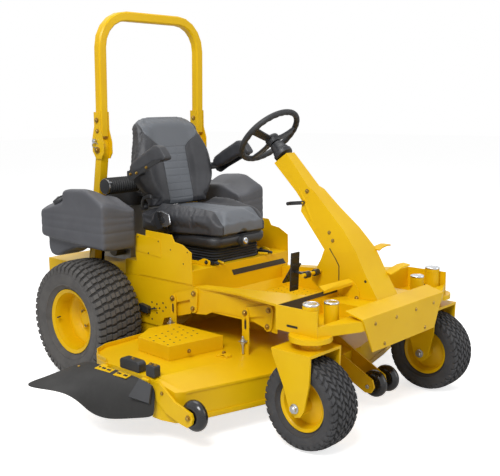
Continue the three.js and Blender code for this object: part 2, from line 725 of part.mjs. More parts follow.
// Steering column
const columnHalfTop = 30;
const columnHalfMid = 47;
const columnMidZ = 940;
const columnWideZ = 730;
const columnHeight = 627;
const columnTop = columnSeat + columnHeight;
const columnRear = -862;
const columnDepth = 630;
const columnShares = [
  [0.0, 0.92], [0.116, 1.0], [0.34, 0.756], [0.387, 0.735], [0.53, 0.601], [0.681, 0.469], [0.805, 0.329],
  [0.898, 0.163], [1.0, 0.0], [0.514, 0.0], [0.422, 0.075], [0.422, 0.105], [0.505, 0.247], [0.53, 0.316],
  [0.283, 0.573], [0.287, 0.646], [0.227, 0.713],
];
const pedalPivotY = -1175;
const pedalPivotZ = 640;
const pedalShaft = 9;
const pedalShaftEnd = 212;
const leverY = -1056;
const leverZ = 946;
const leverLong = 78;
const leverThick = 8;
const bossRadius = 13;
const bossReach = 3;
const columnWidth = (z) => {
  if (z > columnMidZ) {
    const share = (z - columnMidZ) / (columnTop - columnMidZ);
    return columnHalfMid + (columnHalfTop - columnHalfMid) * share;
  }
  if (z > columnWideZ) {
    const share = (z - columnWideZ) / (columnMidZ - columnWideZ);
    return columnHalfLow + (columnHalfMid - columnHalfLow) * share;
  }
  return columnHalfLow;
};
function insetOutline(points, distance) {
  const count = points.length;
  const area = points.reduce((sum, p, i) => {
    const q = points[(i + 1) % count];
    return sum + p[0] * q[1] - q[0] * p[1];
  }, 0);
  const sign = area > 0 ? 1 : -1;
  const normal = (p, q) => {
    const dx = q[0] - p[0];
    const dy = q[1] - p[1];
    const long = Math.hypot(dx, dy);
    return [-dy / long * sign, dx / long * sign];
  };
  return points.map((p, i) => {
    const before = points[(i + count - 1) % count];
    const after = points[(i + 1) % count];
    const a = normal(before, p);
    const b = normal(p, after);
    const scale = distance / Math.max(0.35, 1 + a[0] * b[0] + a[1] * b[1]);
    return [p[0] + (a[0] + b[0]) * scale, p[1] + (a[1] + b[1]) * scale];
  });
}
const wheelAxis = [0, Math.sin(wheelTilt), Math.cos(wheelTilt)];
// A shape made about +Z at the origin, tipped onto the steering axis at its centre.
function onSteering(shape) {
  return shape.rotate([-THREE.MathUtils.radToDeg(wheelTilt), 0, 0]).translate([0, wheelY, wheelZ]);
}
{
  const outline = spread(columnShares, columnRear, -columnDepth, columnSeat, columnHeight);
  const wall = 5;
  const taper = (body, less) => body.warp((p) => { p[0] *= (columnWidth(p[2]) - less) / columnHalfLow; });
  const outer = taper(prism('x', outline, -columnHalfLow, columnHalfLow).refine(2), 0);
  const innerOutline = insetOutline(outline,
    wall).map(([y, z]) => [y, z < columnSeat + wall * twice ? z - overrun : z]);
  const inner = taper(prism('x', innerOutline, -columnHalfLow, columnHalfLow).refine(2), wall);
  const bore = onSteering(rod('z', 0, 0, shaftRadius + runGap, -columnDepth * half, 0, 16));
  const pin = rod('x', pedalPivotY, pedalPivotZ, pedalShaft, -pedalShaftEnd, -columnHalfLow + sheet, 12);
  // The lever turns on a round boss and pin of the column's right side.
  const leverSeat = -columnWidth(leverZ - bossRadius) - bossReach;
  const boss = join(
    rod('x', leverY, leverZ, bossRadius, leverSeat, -columnWidth(leverZ) + wall, 16),
    rod('x', leverY, leverZ, pedalShaft * half, leverSeat - leverThick - bossReach, -columnWidth(leverZ), 12),
  );
  const column = join(cut(outer, inner, bore), pin, cut(boss, inner));
  addPiece('column_cover', column, yellow);
  const grip = leverThick * 1.1;
  const leverOuter = leverSeat - runGap;
  const lever = join(
    prism('x', barOutline(leverY, leverZ, leverY + leverLong, leverZ - grip, grip), leverOuter - leverThick,
      leverOuter),
    rod('x', leverY + leverLong, leverZ - grip, grip, leverOuter - leverThick * 3, leverOuter, 12),
  );
  const leverBore = rod('x', leverY, leverZ, pedalShaft * half + runGap, leverOuter - leverThick * 4,
    leverSeat + overrun, 12);
  addPiece('tilt_lever', cut(lever, leverBore), black);
}
{
  const ringSides = 28;
  const tubeSides = 8;
  const ring = solid(new THREE.TorusGeometry(wheelRadius - gripRadius, gripRadius, tubeSides, ringSides));
  const hubRadius = 36;
  const hubDepth = 34;
  const spokeThick = 9;
  const spokeWide = 34;
  const parts = [ring, rod('z', 0, 0, hubRadius, -hubDepth, hubDepth * 0.2, 20)];
  for (const turn of [-0.5, 0.17, 0.83]) {
    const spoke = block(0, wheelRadius - gripRadius, -spokeWide * half, spokeWide * half, -spokeThick,
      spokeThick * half);
    parts.push(spoke.rotate([0, 0, turn * 180]));
  }
  parts.push(rod('z', 0, 0, shaftRadius, -shaftLong, 0, 16));
  addPiece('steering_wheel', onSteering(join(...parts)), black);
}
{
  const hubRadius = 17;
  const padThick = 8;
  const forwardOuter = 207;
  const forwardInner = 150;
  const reverseOuter = 145;
  const reverseInner = columnHalfLow + sideGap;
  const armThick = 14;
  const pedal = (name, inner, outer, pad) => {
    const middle = (inner + outer) * half;
    const mid = pad.reduce((sum, p) => [sum[0] + p[0] * half, sum[1] + p[1] * half], [0, 0]);
    const dy = pad[1][0] - pad[0][0];
    const dz = pad[1][1] - pad[0][1];
    const long = Math.hypot(dy, dz);
    const n = [dz / long * padThick * half, -dy / long * padThick * half];
    const face = [[pad[0][0] + n[0], pad[0][1] + n[1]], [pad[1][0] + n[0], pad[1][1] + n[1]],
      [pad[1][0] - n[0], pad[1][1] - n[1]], [pad[0][0] - n[0], pad[0][1] - n[1]]];
    const shape = join(
      rod('x', pedalPivotY, pedalPivotZ, hubRadius, -outer, -inner, 16),
      prism('x', barOutline(pedalPivotY, pedalPivotZ, mid[0], mid[1], padThick * 0.8),
        -middle - armThick * half, -middle + armThick * half),
      prism('x', signed(face), -outer, -inner),
    );
    addPiece(name, cut(shape, rod('x', pedalPivotY, pedalPivotZ, pedalShaft + runGap, -outer - overrun,
      -inner + overrun, 12)), black);
  };
  // Pad ends as shares of one reach, measured from the pedal shaft.
  const padReach = 200;
  const forwardShares = [[0.375, -0.42], [0.335, 0.47]];
  const reverseShares = [[0.855, -0.34], [0.555, 0.12]];
  const pads = (shares) => spread(shares, pedalPivotY, padReach, pedalPivotZ, padReach);
  pedal('forward_pedal', forwardInner, forwardOuter, pads(forwardShares));
  pedal('reverse_pedal', reverseInner, reverseOuter, pads(reverseShares));
}
// An outline turned the way a prism along X needs it.
function signed(points) {
  const area = points.reduce((sum, p, i) => {
    const q = points[(i + 1) % points.length];
    return sum + p[0] * q[1] - q[0] * p[1];
  }, 0);
  return area > 0 ? points : [...points].reverse();
}

// Fuel tanks
const tankWidth = 214;
const tankOuter = tankInner + tankWidth;
const tankFront = -240;
const tankLength = 540;
const tankHeight = 381;
const tankRound = 26;
const tankShares = [
  [0.0, 0.21], [0.074, 0.189], [0.306, 0.197], [0.556, 0.168], [0.722, 0.094], [0.815, 0.026], [0.889, 0.0],
  [0.963, 0.021], [1.0, 0.113], [1.0, 0.717], [0.941, 0.84], [0.719, 0.919], [0.556, 0.982], [0.333, 1.0],
  [0.24, 0.985], [0.033, 0.84], [0.0, 0.8],
];
// The outer face ends higher than the belly between the wheel and the frame.
const tankFaceShares = [
  [0.0, 0.215], [0.33, 0.235], [0.98, 0.29], [1.0, 0.32], [1.0, 0.717], [0.941, 0.84], [0.719, 0.919],
  [0.556, 0.982], [0.333, 1.0], [0.24, 0.985], [0.033, 0.84], [0.0, 0.8],
];
const bellyInset = 42;
const capY = 165;
const capInset = 44;
const capRise = 302;
const capX = tankOuter - capInset;
const capZ = tankBottom + capRise;
const capTilt = [0.42, 0.22, 0.88];
const fillerRadius = 38;
const fillerHeight = 26;
{
  const n = new THREE.Vector3(-capTilt[0], capTilt[1], capTilt[2]).normalize();
  const q = new THREE.Quaternion().setFromUnitVectors(new THREE.Vector3(0, 0, 1), n);
  const frameAt = new THREE.Matrix4().compose(new THREE.Vector3(-capX, capY, capZ), q,
    new THREE.Vector3(1, 1, 1));
  const place = (shape) => shape.transform(frameAt.elements.slice());
  const belly = spread(tankShares, tankFront, tankLength, tankBottom, tankHeight);
  const face = spread(tankFaceShares, tankFront, tankLength, tankBottom, tankHeight);
  const cutterHalf = tankLength;
  for (const side of [-1, 1]) {
    const name = side < 0 ? 'right' : 'left';
    const body = join(prism('x', signed(face), -tankOuter, -tankInner, tankRound * half, 2),
      prism('x', signed(belly), -tankOuter + bellyInset, -tankInner, tankRound * half, 2));
    const shave = place(block(-cutterHalf, cutterHalf, -cutterHalf, cutterHalf, 0, cutterHalf));
    const neck = place(rod('z', 0, 0, fillerRadius * 0.75, -tankRound, fillerHeight * half - seatGap, 24));
    const keep = block(-tankOuter, -tankInner, tankFront, capY - fillerRadius * 1.9, tankBottom,
      tankBottom + twice * tankHeight);
    const shaved = body.subtract(cut(shave, keep));
    addPiece(`fuel_tank_${name}`, mirrored(join(shaved, neck), side), charcoal);
    const lid = place(cut(rod('z', 0, 0, fillerRadius, seatGap, fillerHeight, 24),
      rod('z', 0, 0, fillerRadius * 0.75 + runGap, -overrun, fillerHeight * half, 24)));
    addPiece(`fuel_cap_${name}`, mirrored(lid, side), black);
  }
}

// Engine, air cleaner and hose
const engineY = 300;
const engineHalf = 205;
const engineDepth = 165;
const shroudRadius = 188;
const cleanerRise = 373;
const cleanerZ = tankBottom + cleanerRise;
const cleanerDrop = 23;
const shroudTop = cleanerZ - cleanerDrop;
const shroudHeight = 112;
const shroudBottom = shroudTop - shroudHeight;
const cleanerRadius = 54;
const cleanerEnd = 148;
const hoseOuter = 45;
const hoseClear = 2.3;
const cleanerY = ropsPivotY + (ropsPivotZ - cleanerZ) * ropsPostLean - postDepth * half - hoseOuter
  - hoseClear;
const hoseRoot = 38;
const hoseBore = 31;
const hoseGap = 8;
const hoseEnd = tankInner - hoseGap;
const hoseRibs = 13;
{
  const foot = railTop + seatGap;
  const block0 = block(-engineHalf * 0.6, engineHalf * 0.6, engineY - engineDepth, engineY + engineDepth,
    foot, shroudBottom - seatGap);
  const bank = block(-engineHalf, engineHalf, engineY - engineDepth * 0.55, engineY + engineDepth * 0.55,
    foot + engineDepth * half,
    shroudBottom - engineDepth * half);
  addPiece('engine_block', join(block0, bank), castMetal);
  const neckHalf = 60;
  const shroud = join(
    rod('z', 0, engineY, shroudRadius, shroudBottom, shroudTop, 24),
    block(-neckHalf, neckHalf, cleanerY, engineY - shroudRadius * half, shroudTop - neckHalf, shroudTop),
    rod('x', cleanerY, cleanerZ, cleanerRadius, -cleanerEnd, cleanerEnd, 16),
  );
  addPiece('engine_shroud', shroud, black);
  // Ribbed hose: a closed solid with a bore, two rings of eight points to a rib.
  const sides = 8;
  const start = -hoseEnd;
  const end = -cleanerEnd - seatGap;
  const cuff = hoseRoot;
  const ribSpan = (end - start - twice * cuff) / hoseRibs;
  const profile = [[hoseRoot, start], [hoseRoot, start + cuff]];
  for (let i = 0; i < hoseRibs; i += 1) {
    profile.push([hoseOuter, start + cuff + ribSpan * (i + 0.35)]);
    profile.push([hoseRoot, start + cuff + ribSpan * (i + 0.95)]);
  }
  profile.push([hoseRoot, end], [hoseBore, end]);
  const boreRings = Math.floor(hoseRibs / 5);
  for (let i = boreRings; i >= 1; i -= 1) profile.push([hoseBore,
    start + (end - start) * i / (boreRings + 1)]);
  profile.push([hoseBore, start]);
  const points = profile.map(([radius, along]) => new THREE.Vector2(radius, along));
  points.push(points[0].clone());
  const lathe = new THREE.LatheGeometry(points, sides, Math.PI / sides);
  lathe.rotateZ(-Math.PI * half);
  let hose = solid(lathe);
  if (hose.volume() < 0) hose = solid(lathe.scale(1, 1, -1));
  addPiece('intake_hose', hose.translate([0, cleanerY, cleanerZ]), rubber);
}

// Seat
const seatPanHalf = 192;
const seatPanSetback = 28;
const seatPanFront = cushionFront + seatPanSetback;
const suspensionHalf = 175;
const suspensionFront = -585;
const suspensionRear = -185;
const knobRadius = 30;
const knobDepth = 30;
const knobZ = 716;
const padNarrow = 190;
const padFlare = 60;
const noseDraw = 26;
const noseFall = 52;
const backWaist = 205;
const backFlare = 70;
const backTaper = 30;
const backShoulder = 62;
const backNose = 34;
const rearNose = 16;
const rearCurve = 14;
const faceDrop = 18;
const seamRound = 7;
const armX = 304;
const armWidth = 54;
const armBossRadius = 20;
const armBossLong = 62;
const armLength = 300;
const armRise = 190;
const armRound = 10;
const armPivotY = -140;
const armPivotZ = 1062;
const backDeep = 92;
{
  addPiece('seat_suspension', block(-suspensionHalf, suspensionHalf, suspensionFront, suspensionRear,
    seatBoxTop + seatGap, baseBottom - seatGap), black);
  const base = block(-seatPanHalf, seatPanHalf, seatPanFront, cushionRear - overrun, baseBottom,
    cushionBottom - seatGap);
  addPiece('seat_base', base, black);
  addPiece('weight_knob', rod('y', 0, knobZ, knobRadius, seatPanFront - seatGap - knobDepth,
    seatPanFront - seatGap, 20), black);
  const columns = [-1, -0.82, -0.62, -0.5, -0.25, 0, 0.25, 0.5, 0.62, 0.82, 1];
  const crown = 16;
  const bolster = 46;
  const channel = 6;
  const cushionRows = [0, 0.03, 0.08];
  const cushionRibs = 6;
  for (let i = 0; i < cushionRibs; i += 1) {
    cushionRows.push(0.14 + 0.13 * i, 0.205 + 0.13 * i);
  }
  cushionRows.push(0.96, 1);
  const cushionLong = cushionRear - cushionFront;
  const isChannel = (v) => {
    const place = Math.abs(((v - 0.14) / 0.13) % 1);
    return place < 0.02 || 1 - place < 0.02;
  };
  const smooth = (t) => t * t * (3 - twice * t);
  const bolsterAt = (u) => {
    const a = Math.abs(u);
    if (a < 0.5) return 0;
    if (a < 0.82) return smooth((a - 0.5) / 0.32);
    return 1 - 0.45 * smooth((a - 0.82) / 0.18);
  };
  const endFall = (v) => (v < 0.14 ? 1 - smooth(v / 0.14) : 0);
  const cushion = padded({
    columns,
    rows: cushionRows,
    halfWidth: (v) => padNarrow + padFlare * smooth(Math.min(1,
      v / 0.75)) - (v < 0.1 ? noseDraw * (1 - v / 0.1) : 0),
    across: (v) => v * cushionLong,
    front: (u, v) => {
      const middle = crown * (1 - u * u);
      const groove = Math.abs(u) < 0.55 && v > 0.1 && v < 0.95 && isChannel(v) ? channel : 0;
      const fall = endFall(v) * noseFall;
      const rise = bolsterAt(u) * bolster * (0.25 + 0.75 * smooth(Math.min(1, v / 0.6)));
      const rearCut = bolsterAt(u) * bolster * smooth(Math.max(0, Math.min(1, (v - 0.78) / 0.1)));
      return cushionTop - crown - cushionBottom + middle - groove - fall + rise - rearCut;
    },
    back: () => 0,
    drawIn: seamRound,
    place: (x, along, height) => new THREE.Vector3(x, cushionFront + along, cushionBottom + height),
  });
  const trimmed = cushion.subtract(block(-cushionLong, cushionLong, cushionRear - backDeep * 1.35,
    cushionRear + overrun,
    cushionTop - sideGap, cushionTop + backRise));
  addPiece('seat_cushion', trimmed, leather);

  const lean = backLean;
  const up = new THREE.Vector3(0, Math.sin(lean), Math.cos(lean));
  const out = new THREE.Vector3(0, -Math.cos(lean), Math.sin(lean));
  const start = new THREE.Vector3(0, cushionRear + seatGap, cushionTop - sideGap + seatGap);
  const backRows = [0, 0.05];
  const backRibs = 6;
  for (let i = 0; i < backRibs; i += 1) {
    backRows.push(0.1 + 0.095 * i, 0.1475 + 0.095 * i);
  }
  backRows.push(0.67, 0.78, 0.88, 0.95, 1);
  const isSeam = (v) => {
    const place = Math.abs(((v - 0.1) / 0.095) % 1);
    return v < 0.68 && (place < 0.03 || 1 - place < 0.03);
  };
  const backBolster = 44;
  const back = padded({
    columns,
    rows: backRows,
    halfWidth: (v) => {
      const belly = backWaist + backFlare * smooth(Math.min(1, v / 0.35))
        - backTaper * smooth(Math.max(0, Math.min(1, (v - 0.45) / 0.4)));
      return v > 0.85 ? belly - backShoulder * Math.pow((v - 0.85) / 0.15, 2.2) : belly;
    },
    across: (v) => v * backRise,
    front: (u, v) => {
      const groove = Math.abs(u) < 0.55 && v > 0.06 && isSeam(v) ? channel : 0;
      const wing = bolsterAt(u) * backBolster * (0.3 + 0.7 * smooth(Math.min(1,
        v / 0.25))) * (v > 0.55 ? 1 - smooth(Math.min(1, (v - 0.55) / 0.4)) : 1);
      const nose = v > 0.88 ? backNose * smooth((v - 0.88) / 0.12) : 0;
      return backDeep - faceDrop + crown * (1 - u * u) * 0.6 - groove + wing - nose;
    },
    back: (u, v) => (v > 0.88 ? rearNose * smooth((v - 0.88) / 0.12) : 0) + rearCurve * u * u,
    drawIn: seamRound,
    place: (x, along, height) => start.clone().addScaledVector(up, along).addScaledVector(out,
      height).setX(x),
  });
  // Each armrest turns on a round boss that enters a pocket in the backrest's side.
  const pocketEnd = armX - armBossLong - runGap;
  const pockets = [-1, 1].map((side) => mirrored(
    rod('x', armPivotY, armPivotZ, armBossRadius + runGap, -armX - armWidth, -pocketEnd, 20), side));
  addPiece('seat_backrest', cut(back, ...pockets), leather);
  const armShares = [
    [-0.1, -0.16], [-0.033, 0.22], [0.2, 0.44], [0.6, 0.78], [0.74, 0.74], [0.907, 0.48], [0.887, 0.37],
    [0.6, 0.23], [0.233, -0.04], [0.033, -0.22],
  ];
  for (const side of [-1, 1]) {
    const name = side < 0 ? 'right' : 'left';
    const points = spread(armShares, armPivotY, -armLength, armPivotZ, armRise);
    const arm = prism('x', signed(points), -armX - armWidth * half, -armX + armWidth * half, armRound, 2);
    const boss = rod('x', armPivotY, armPivotZ, armBossRadius, -armX, -armX + armBossLong, 20);
    const fitted = join(arm, boss);
    addPiece(`armrest_${name}`, mirrored(fitted, side), leather);
  }
}

// Cutting deck
const chuteFront = -905;
const chuteRear = -590;
const chuteTop = 240;
const barrelRadius = 9;
const barrelLong = 40;
const hingeGap = 2;
const chuteHingeX = deckHalf + barrelRadius + hingeGap;
const chuteHingeZ = deckTop - barrelRadius * 1.4;
const lugThick = 8;
const lugHalf = 24;
const lugRise = 50;
const hangerThickness = 6;
const hangerX = crankArmInner + crankArmThick + runGap;
const frontLinkY = -980;
const frontLinkZ = 471;
const rearLinkY = -495;
const rearLinkZ = 463;
const hangerBottomZ = 300;
const wheelPairX = 90;
const wheelPairSpan = 100;
const wheelPairWidth = 50;
const wheelPairY = -1400;
const wheelPairZ = 124;
const wheelPairRadius = 63;
const noseArmThick = 8;
const noseArmGap = 25;
const noseArmLength = 345;
const noseArmHeight = 210;
const noseArmRear = wheelPairY + noseArmLength * 0.9;
const noseArmBottom = wheelPairZ - noseArmHeight * 0.152;
const cornerInset = 30;
const cornerWheelX = deckHalf - cornerInset;
const cornerWheelY = -1133;
const cornerWheelZ = 165;
const cornerWheelRadius = 65;
const cornerWheelWidth = 50;
const bracketLength = 250;
const bracketHeight = 150;
const axlePin = 9;
const spindleShare = 0.636364;
const spindleX = deckHalf * spindleShare;
const spindleY = -720;
const spindleShaft = 22;
const spindleBoss = 62;
const spindleRise = 40;
const pulleyShare = 0.125;
const pulleyRadius = spindleX * pulleyShare;
const pulleyThick = 17;
const bladeGap = 10;
const bladeHalf = spindleX * half - bladeGap;
const bladeWide = 28;
const bladeThick = 8;
const bladeLift = 22;
const deckPlanShares = [
  [0.0, 1.0], [0.17, 0.994], [0.534, 0.904], [0.943, 0.778], [0.98, 0.742], [1.0, 0.658], [1.0, 0.227],
  [0.985, 0.13], [0.93, 0.045], [0.84, 0.0], [0.341, 0.0],
];
const noseArmShares = [
  [0, 0.99], [0.2, 0.97], [0.97, 0.314], [1, 0.152], [0.95, 0.02], [0.855, 0], [0.42, 0.35], [0.13,
    0.72], [0, 0.8],
];
const bracketShares = [
  [0, 1], [0.216, 1], [0.568, 0.6], [0.968, 0.43], [1, 0.29], [0.968, 0.12], [0.87, 0], [0.7, 0.04],
  [0.368, 0.2], [0.088, 0.52], [0, 0.687],
];
{
  const halfPlan = spread(deckPlanShares, 0, deckHalf, deckRear, deckFront - deckRear);
  const plan = signed([...halfPlan, ...halfPlan.slice(1).reverse().map(([x, y]) => [-x, y])]);
  const inner = signed(insetOutline(plan, deckWall));
  // The front wall stands upright to the bend and then slopes back to the top plate.
  const sloped = (drop) => (p) => {
    const rise = Math.max(0, (p[2] + drop - deckBend) / (deckTop - deckBend));
    const share = Math.min(1, (slopeStart - p[1]) / (slopeStart - deckFront) * 1.6);
    if (p[1] < slopeStart) p[1] += deckSlope * rise * share;
  };
  const outer = join(prism('z', plan, deckBottom, deckBend),
    prism('z', plan, deckBend, deckTop).warp(sloped(0)));
  const room = join(prism('z', inner, deckBottom - overrun, deckBend - deckWall),
    prism('z', inner, deckBend - deckWall, deckTop - deckWall).warp(sloped(deckWall)));
  const nose = spread(noseArmShares, noseArmRear, -noseArmLength, noseArmBottom, noseArmHeight);
  const noseArms = [-half, half].map((share) => {
    const face = wheelPairX + share * wheelPairSpan - wheelPairWidth * half - noseArmGap;
    return prism('x', signed(nose), face - noseArmThick, face);
  });
  const parts = [cut(join(outer, ...noseArms), room)];
  const mouth = block(-deckHalf - overrun, -deckHalf + overrun * 3, chuteFront, chuteRear,
    deckBottom - overrun, chuteTop);
  const tools = [mouth];
  for (const x of [-spindleX, 0, spindleX]) {
    parts.push(rod('z', x, spindleY, spindleBoss, deckTop - deckWall, deckTop + spindleRise, 20));
    tools.push(rod('z', x, spindleY, spindleShaft + runGap, deckBottom, deckTop + spindleRise + overrun, 16));
  }
  const bracket = spread(bracketShares, chuteFront - bracketClear, -bracketLength,
    cornerWheelZ - bracketHeight * 0.29, bracketHeight);
  for (const side of [-1, 1]) {
    for (const y of [frontLinkY, rearLinkY]) {
      const inside = hangerX + hangerThickness + runGap;
      parts.push(block(side * inside, side * (inside + lugThick), y - lugHalf, y + lugHalf,
        deckTop - deckWall * half,
        deckTop + lugRise));
    }
    const plateOut = deckHalf + lugThick;
    parts.push(mirrored(prism('x', signed(bracket), -plateOut, -deckHalf + deckWall * half), side));
    parts.push(mirrored(rod('x', cornerWheelY, cornerWheelZ, axlePin, -plateOut,
      -cornerWheelX + cornerWheelWidth * half, 12), side));
  }
  for (const y of [chuteFront, chuteRear - barrelLong]) {
    parts.push(rod('y', -chuteHingeX, chuteHingeZ, barrelRadius, y, y + barrelLong, 12));
    parts.push(block(-chuteHingeX, -deckHalf + deckWall * half, y, y + barrelLong,
      chuteHingeZ - deckWall * half,
      chuteHingeZ + deckWall * half));
  }
  tools.push(rod('x', wheelPairY, wheelPairZ, axlePin + runGap, wheelPairX - wheelPairSpan * twice,
    wheelPairX + wheelPairSpan * twice, 12));
  addPiece('deck_shell', cut(join(...parts), ...tools), yellow);
}
for (const side of [-1, 1]) {
  const name = side < 0 ? 'right' : 'left';
  const wheel = cut(rod('x', cornerWheelY, cornerWheelZ, cornerWheelRadius,
    -cornerWheelX - cornerWheelWidth * half,
    -cornerWheelX + cornerWheelWidth * half, 24), rod('x', cornerWheelY, cornerWheelZ, axlePin + runGap,
    -cornerWheelX - cornerWheelWidth, -cornerWheelX + cornerWheelWidth, 12));
  addPiece(`antiscalp_wheel_${name}`, mirrored(wheel, side), black);
}
{
  const wheelHalf = wheelPairWidth * half;
  const axleStart = wheelPairX - wheelPairSpan * half - wheelHalf - noseArmGap - noseArmThick * twice;
  const wheels = [-half, half].map((share) => {
    const middle = wheelPairX + share * wheelPairSpan;
    return rod('x', wheelPairY, wheelPairZ, wheelPairRadius, middle - wheelHalf, middle + wheelHalf, 24);
  });
  const axle = rod('x', wheelPairY, wheelPairZ, axlePin, axleStart, wheelPairX + wheelPairSpan * half, 12);
  addPiece('antiscalp_wheels_front', join(axle, ...wheels), black);
}
[['right', -spindleX], ['centre', 0], ['left', spindleX]].forEach(([name, x], place) => {
  const turn = place * 60;
  const blade = block(-bladeHalf, bladeHalf, -bladeWide, bladeWide, deckBottom + bladeLift,
    deckBottom + bladeLift + bladeThick);
  const pulleyLow = deckTop + spindleRise + runGap;
  const spindle = join(
    blade.rotate([0, 0, turn]),
    rod('z', 0, 0, spindleShaft, deckBottom + bladeLift - bladeThick, pulleyLow + pulleyThick, 16),
    rod('z', 0, 0, pulleyRadius, pulleyLow, pulleyLow + pulleyThick, 24),
  );
  addPiece(`blade_spindle_${name}`, spindle.translate([x, spindleY, 0]), steel);
});

// Belt covers: a tray upside down on the deck over the outer spindle
const coverGap = 17.5;
const coverOverhang = 123;
const coverInner = hangerX + hangerThickness + coverGap;
const coverWidth = spindleX + coverOverhang - coverInner;
const coverRear = -498;
const coverDepth = 357;
const coverHeight = 66;
const coverWall = 3;
const beltCoverShares = [[0.96, 0.213], [1.0, 0.843], [0.0, 1.0], [0.0, 0.085], [0.5, 0.0]];
{
  const coverPlan = signed(spread(beltCoverShares, coverInner, coverWidth, coverRear, -coverDepth));
  const top = deckTop + seatGap + coverHeight;
  const room = prism('z', signed(insetOutline(coverPlan, coverWall)), deckTop - overrun, top - coverWall);
  const tray = cut(prism('z', coverPlan, deckTop + seatGap, top), room);
  for (const side of [-1, 1]) {
    addPiece(side < 0 ? 'belt_cover_right' : 'belt_cover_left', mirrored(tray, -side), yellow);
  }
}

// Discharge deflector: a flap that hangs steeply in front and runs out flat to a tip behind.
// A row holds its place along the flap and then four points as shares of reach and drop.
const flapFront = -945;
const flapLength = 500;
const flapReach = 300;
const flapDrop = 163;
const flapThick = 5;
const flapShares = [
  [0.0, [[0.02, 0.865], [0.027, 0.59], [0.04, 0.344], [0.05, 0.135]]],
  [0.08, [[0.013, 0.97], [0.08, 0.834], [0.147, 0.466], [0.18, 0.123]]],
  [0.29, [[0.007, 1.0], [0.163, 0.926], [0.297, 0.497], [0.347, 0.0]]],
  [0.396, [[0.007, 1.0], [0.197, 0.945], [0.373, 0.53], [0.43, 0.0]]],
  [0.52, [[0.007, 1.0], [0.23, 0.945], [0.43, 0.59], [0.497, 0.086]]],
  [0.65, [[0.007, 1.0], [0.247, 0.933], [0.48, 0.68], [0.537, 0.344]]],
  [0.77, [[0.007, 1.0], [0.263, 0.926], [0.53, 0.76], [0.647, 0.564]]],
  [0.89, [[0.007, 0.98], [0.28, 0.908], [0.613, 0.785], [0.83, 0.663]]],
  [1.0, [[0.01, 0.9], [0.23, 0.871], [0.63, 0.785], [1.0, 0.785]]],
];
{
  const positions = [];
  const index = [];
  const count = flapShares[0][1].length;
  for (const under of [0, flapThick * 0.75]) {
    flapShares.forEach(([along, points]) => points.forEach(([out, up]) => positions.push(
      -chuteHingeX - out * flapReach + under,
      flapFront + along * flapLength,
      chuteHingeZ - (1 - up) * flapDrop - under,
    )));
  }
  const layer = flapShares.length * count;
  const quad = (a, b, c, d) => index.push(a, b, c, a, c, d);
  for (let j = 0; j < flapShares.length - 1; j += 1) {
    for (let i = 0; i < count - 1; i += 1) {
      const a = j * count + i;
      quad(a, a + 1, a + count + 1, a + count);
      quad(layer + a, layer + a + count, layer + a + count + 1, layer + a + 1);
    }
  }
  const rim = [];
  for (let i = 0; i < count - 1; i += 1) rim.push(i);
  for (let j = 0; j < flapShares.length - 1; j += 1) rim.push(j * count + count - 1);
  for (let i = count - 1; i > 0; i -= 1) rim.push((flapShares.length - 1) * count + i);
  for (let j = flapShares.length - 1; j > 0; j -= 1) rim.push(j * count);
  rim.forEach((a, k) => {
    const b = rim[(k + 1) % rim.length];
    quad(a, layer + a, layer + b, b);
  });
  const plate = new THREE.BufferGeometry();
  plate.setAttribute('position', new THREE.Float32BufferAttribute(positions, 3));
  plate.setIndex(index);
  const shape = solidOut(plate, index);
  const barrel = rod('y', -chuteHingeX, chuteHingeZ, barrelRadius, chuteFront + barrelLong + seatGap,
    chuteRear - barrelLong - seatGap, 12);
  const gapRoom = barrelRadius + hingeGap;
  const clear = (low, high) => block(-chuteHingeX - gapRoom, -chuteHingeX + gapRoom, low, high,
    chuteHingeZ - gapRoom * twice, chuteHingeZ + gapRoom);
  const clearFront = clear(flapFront - overrun, chuteFront + barrelLong + seatGap);
  const clearRear = clear(chuteRear - barrelLong - seatGap, chuteRear + overrun);
  addPiece('deflector_chute', cut(shape, clearFront, clearRear).add(barrel), black);
}

// Deck lift
{
  const armRadius = 24;
  const crankSkew = 8;
  const crankDrop = 75;
  for (const [place, py, pz, ly, lz, by, bz] of [
    ['front', frontCrankY, frontCrankZ, frontLinkY, frontLinkZ, frontCrankY + crankSkew,
      frontCrankZ - crankDrop],
    ['rear', rearCrankY, rearCrankZ, rearLinkY, rearLinkZ, rearCrankY + crankSkew, rearCrankZ - crankDrop],
  ]) {
    for (const side of [-1, 1]) {
      const name = side < 0 ? 'right' : 'left';
      const arm = join(
        prism('x', signed(barOutline(py, pz, ly, lz, armRadius)), -crankArmInner - crankArmThick,
          -crankArmInner),
        prism('x', signed(barOutline(py, pz, by, bz, armRadius)), -crankArmInner - crankArmThick,
          -crankArmInner),
        rod('x', py, pz, crankStub, -crankArmInner, -railInner - sideGap, 12),
        rod('x', py, pz, crankStub * 1.4, -crankArmInner, -chassisHalf - runGap, 12),
      );
      addPiece(`lift_crank_${place}_${name}`, mirrored(arm, side), yellow);
      const hangerHalf = 21;
      const strap = cut(
        prism('x', signed(barOutline(ly, lz, ly, hangerBottomZ + hangerHalf, hangerHalf)),
          -hangerX - hangerThickness, -hangerX),
        prism('x', signed(barOutline(ly, lz - hangerHalf * 1.6, ly, lz - hangerHalf * 3.4,
          hangerHalf * 0.3)), -hangerX - overrun, -hangerX + overrun),
      );
      addPiece(`deck_hanger_${place}_${name}`, mirrored(strap, side), yellow);
    }
  }
}

// Stand the whole machine centred over the origin.
const bounds = new THREE.Box3().setFromObject(root);
const centre = bounds.getCenter(new THREE.Vector3());
root.position.set(-centre.x, -centre.y, -bounds.min.z);
root.updateMatrixWorld(true);

export default root;
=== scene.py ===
"""Looks of a zero turn mower with a steering wheel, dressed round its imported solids.

Sizes are millimetres in the layout frame: X across (the machine's own right is
negative), Y rearwards from the rear axle, Z up from the ground.
"""

import json
import logging
import math
from dataclasses import dataclass, field
from enum import Enum
from typing import Callable, Iterable, Optional, Sequence

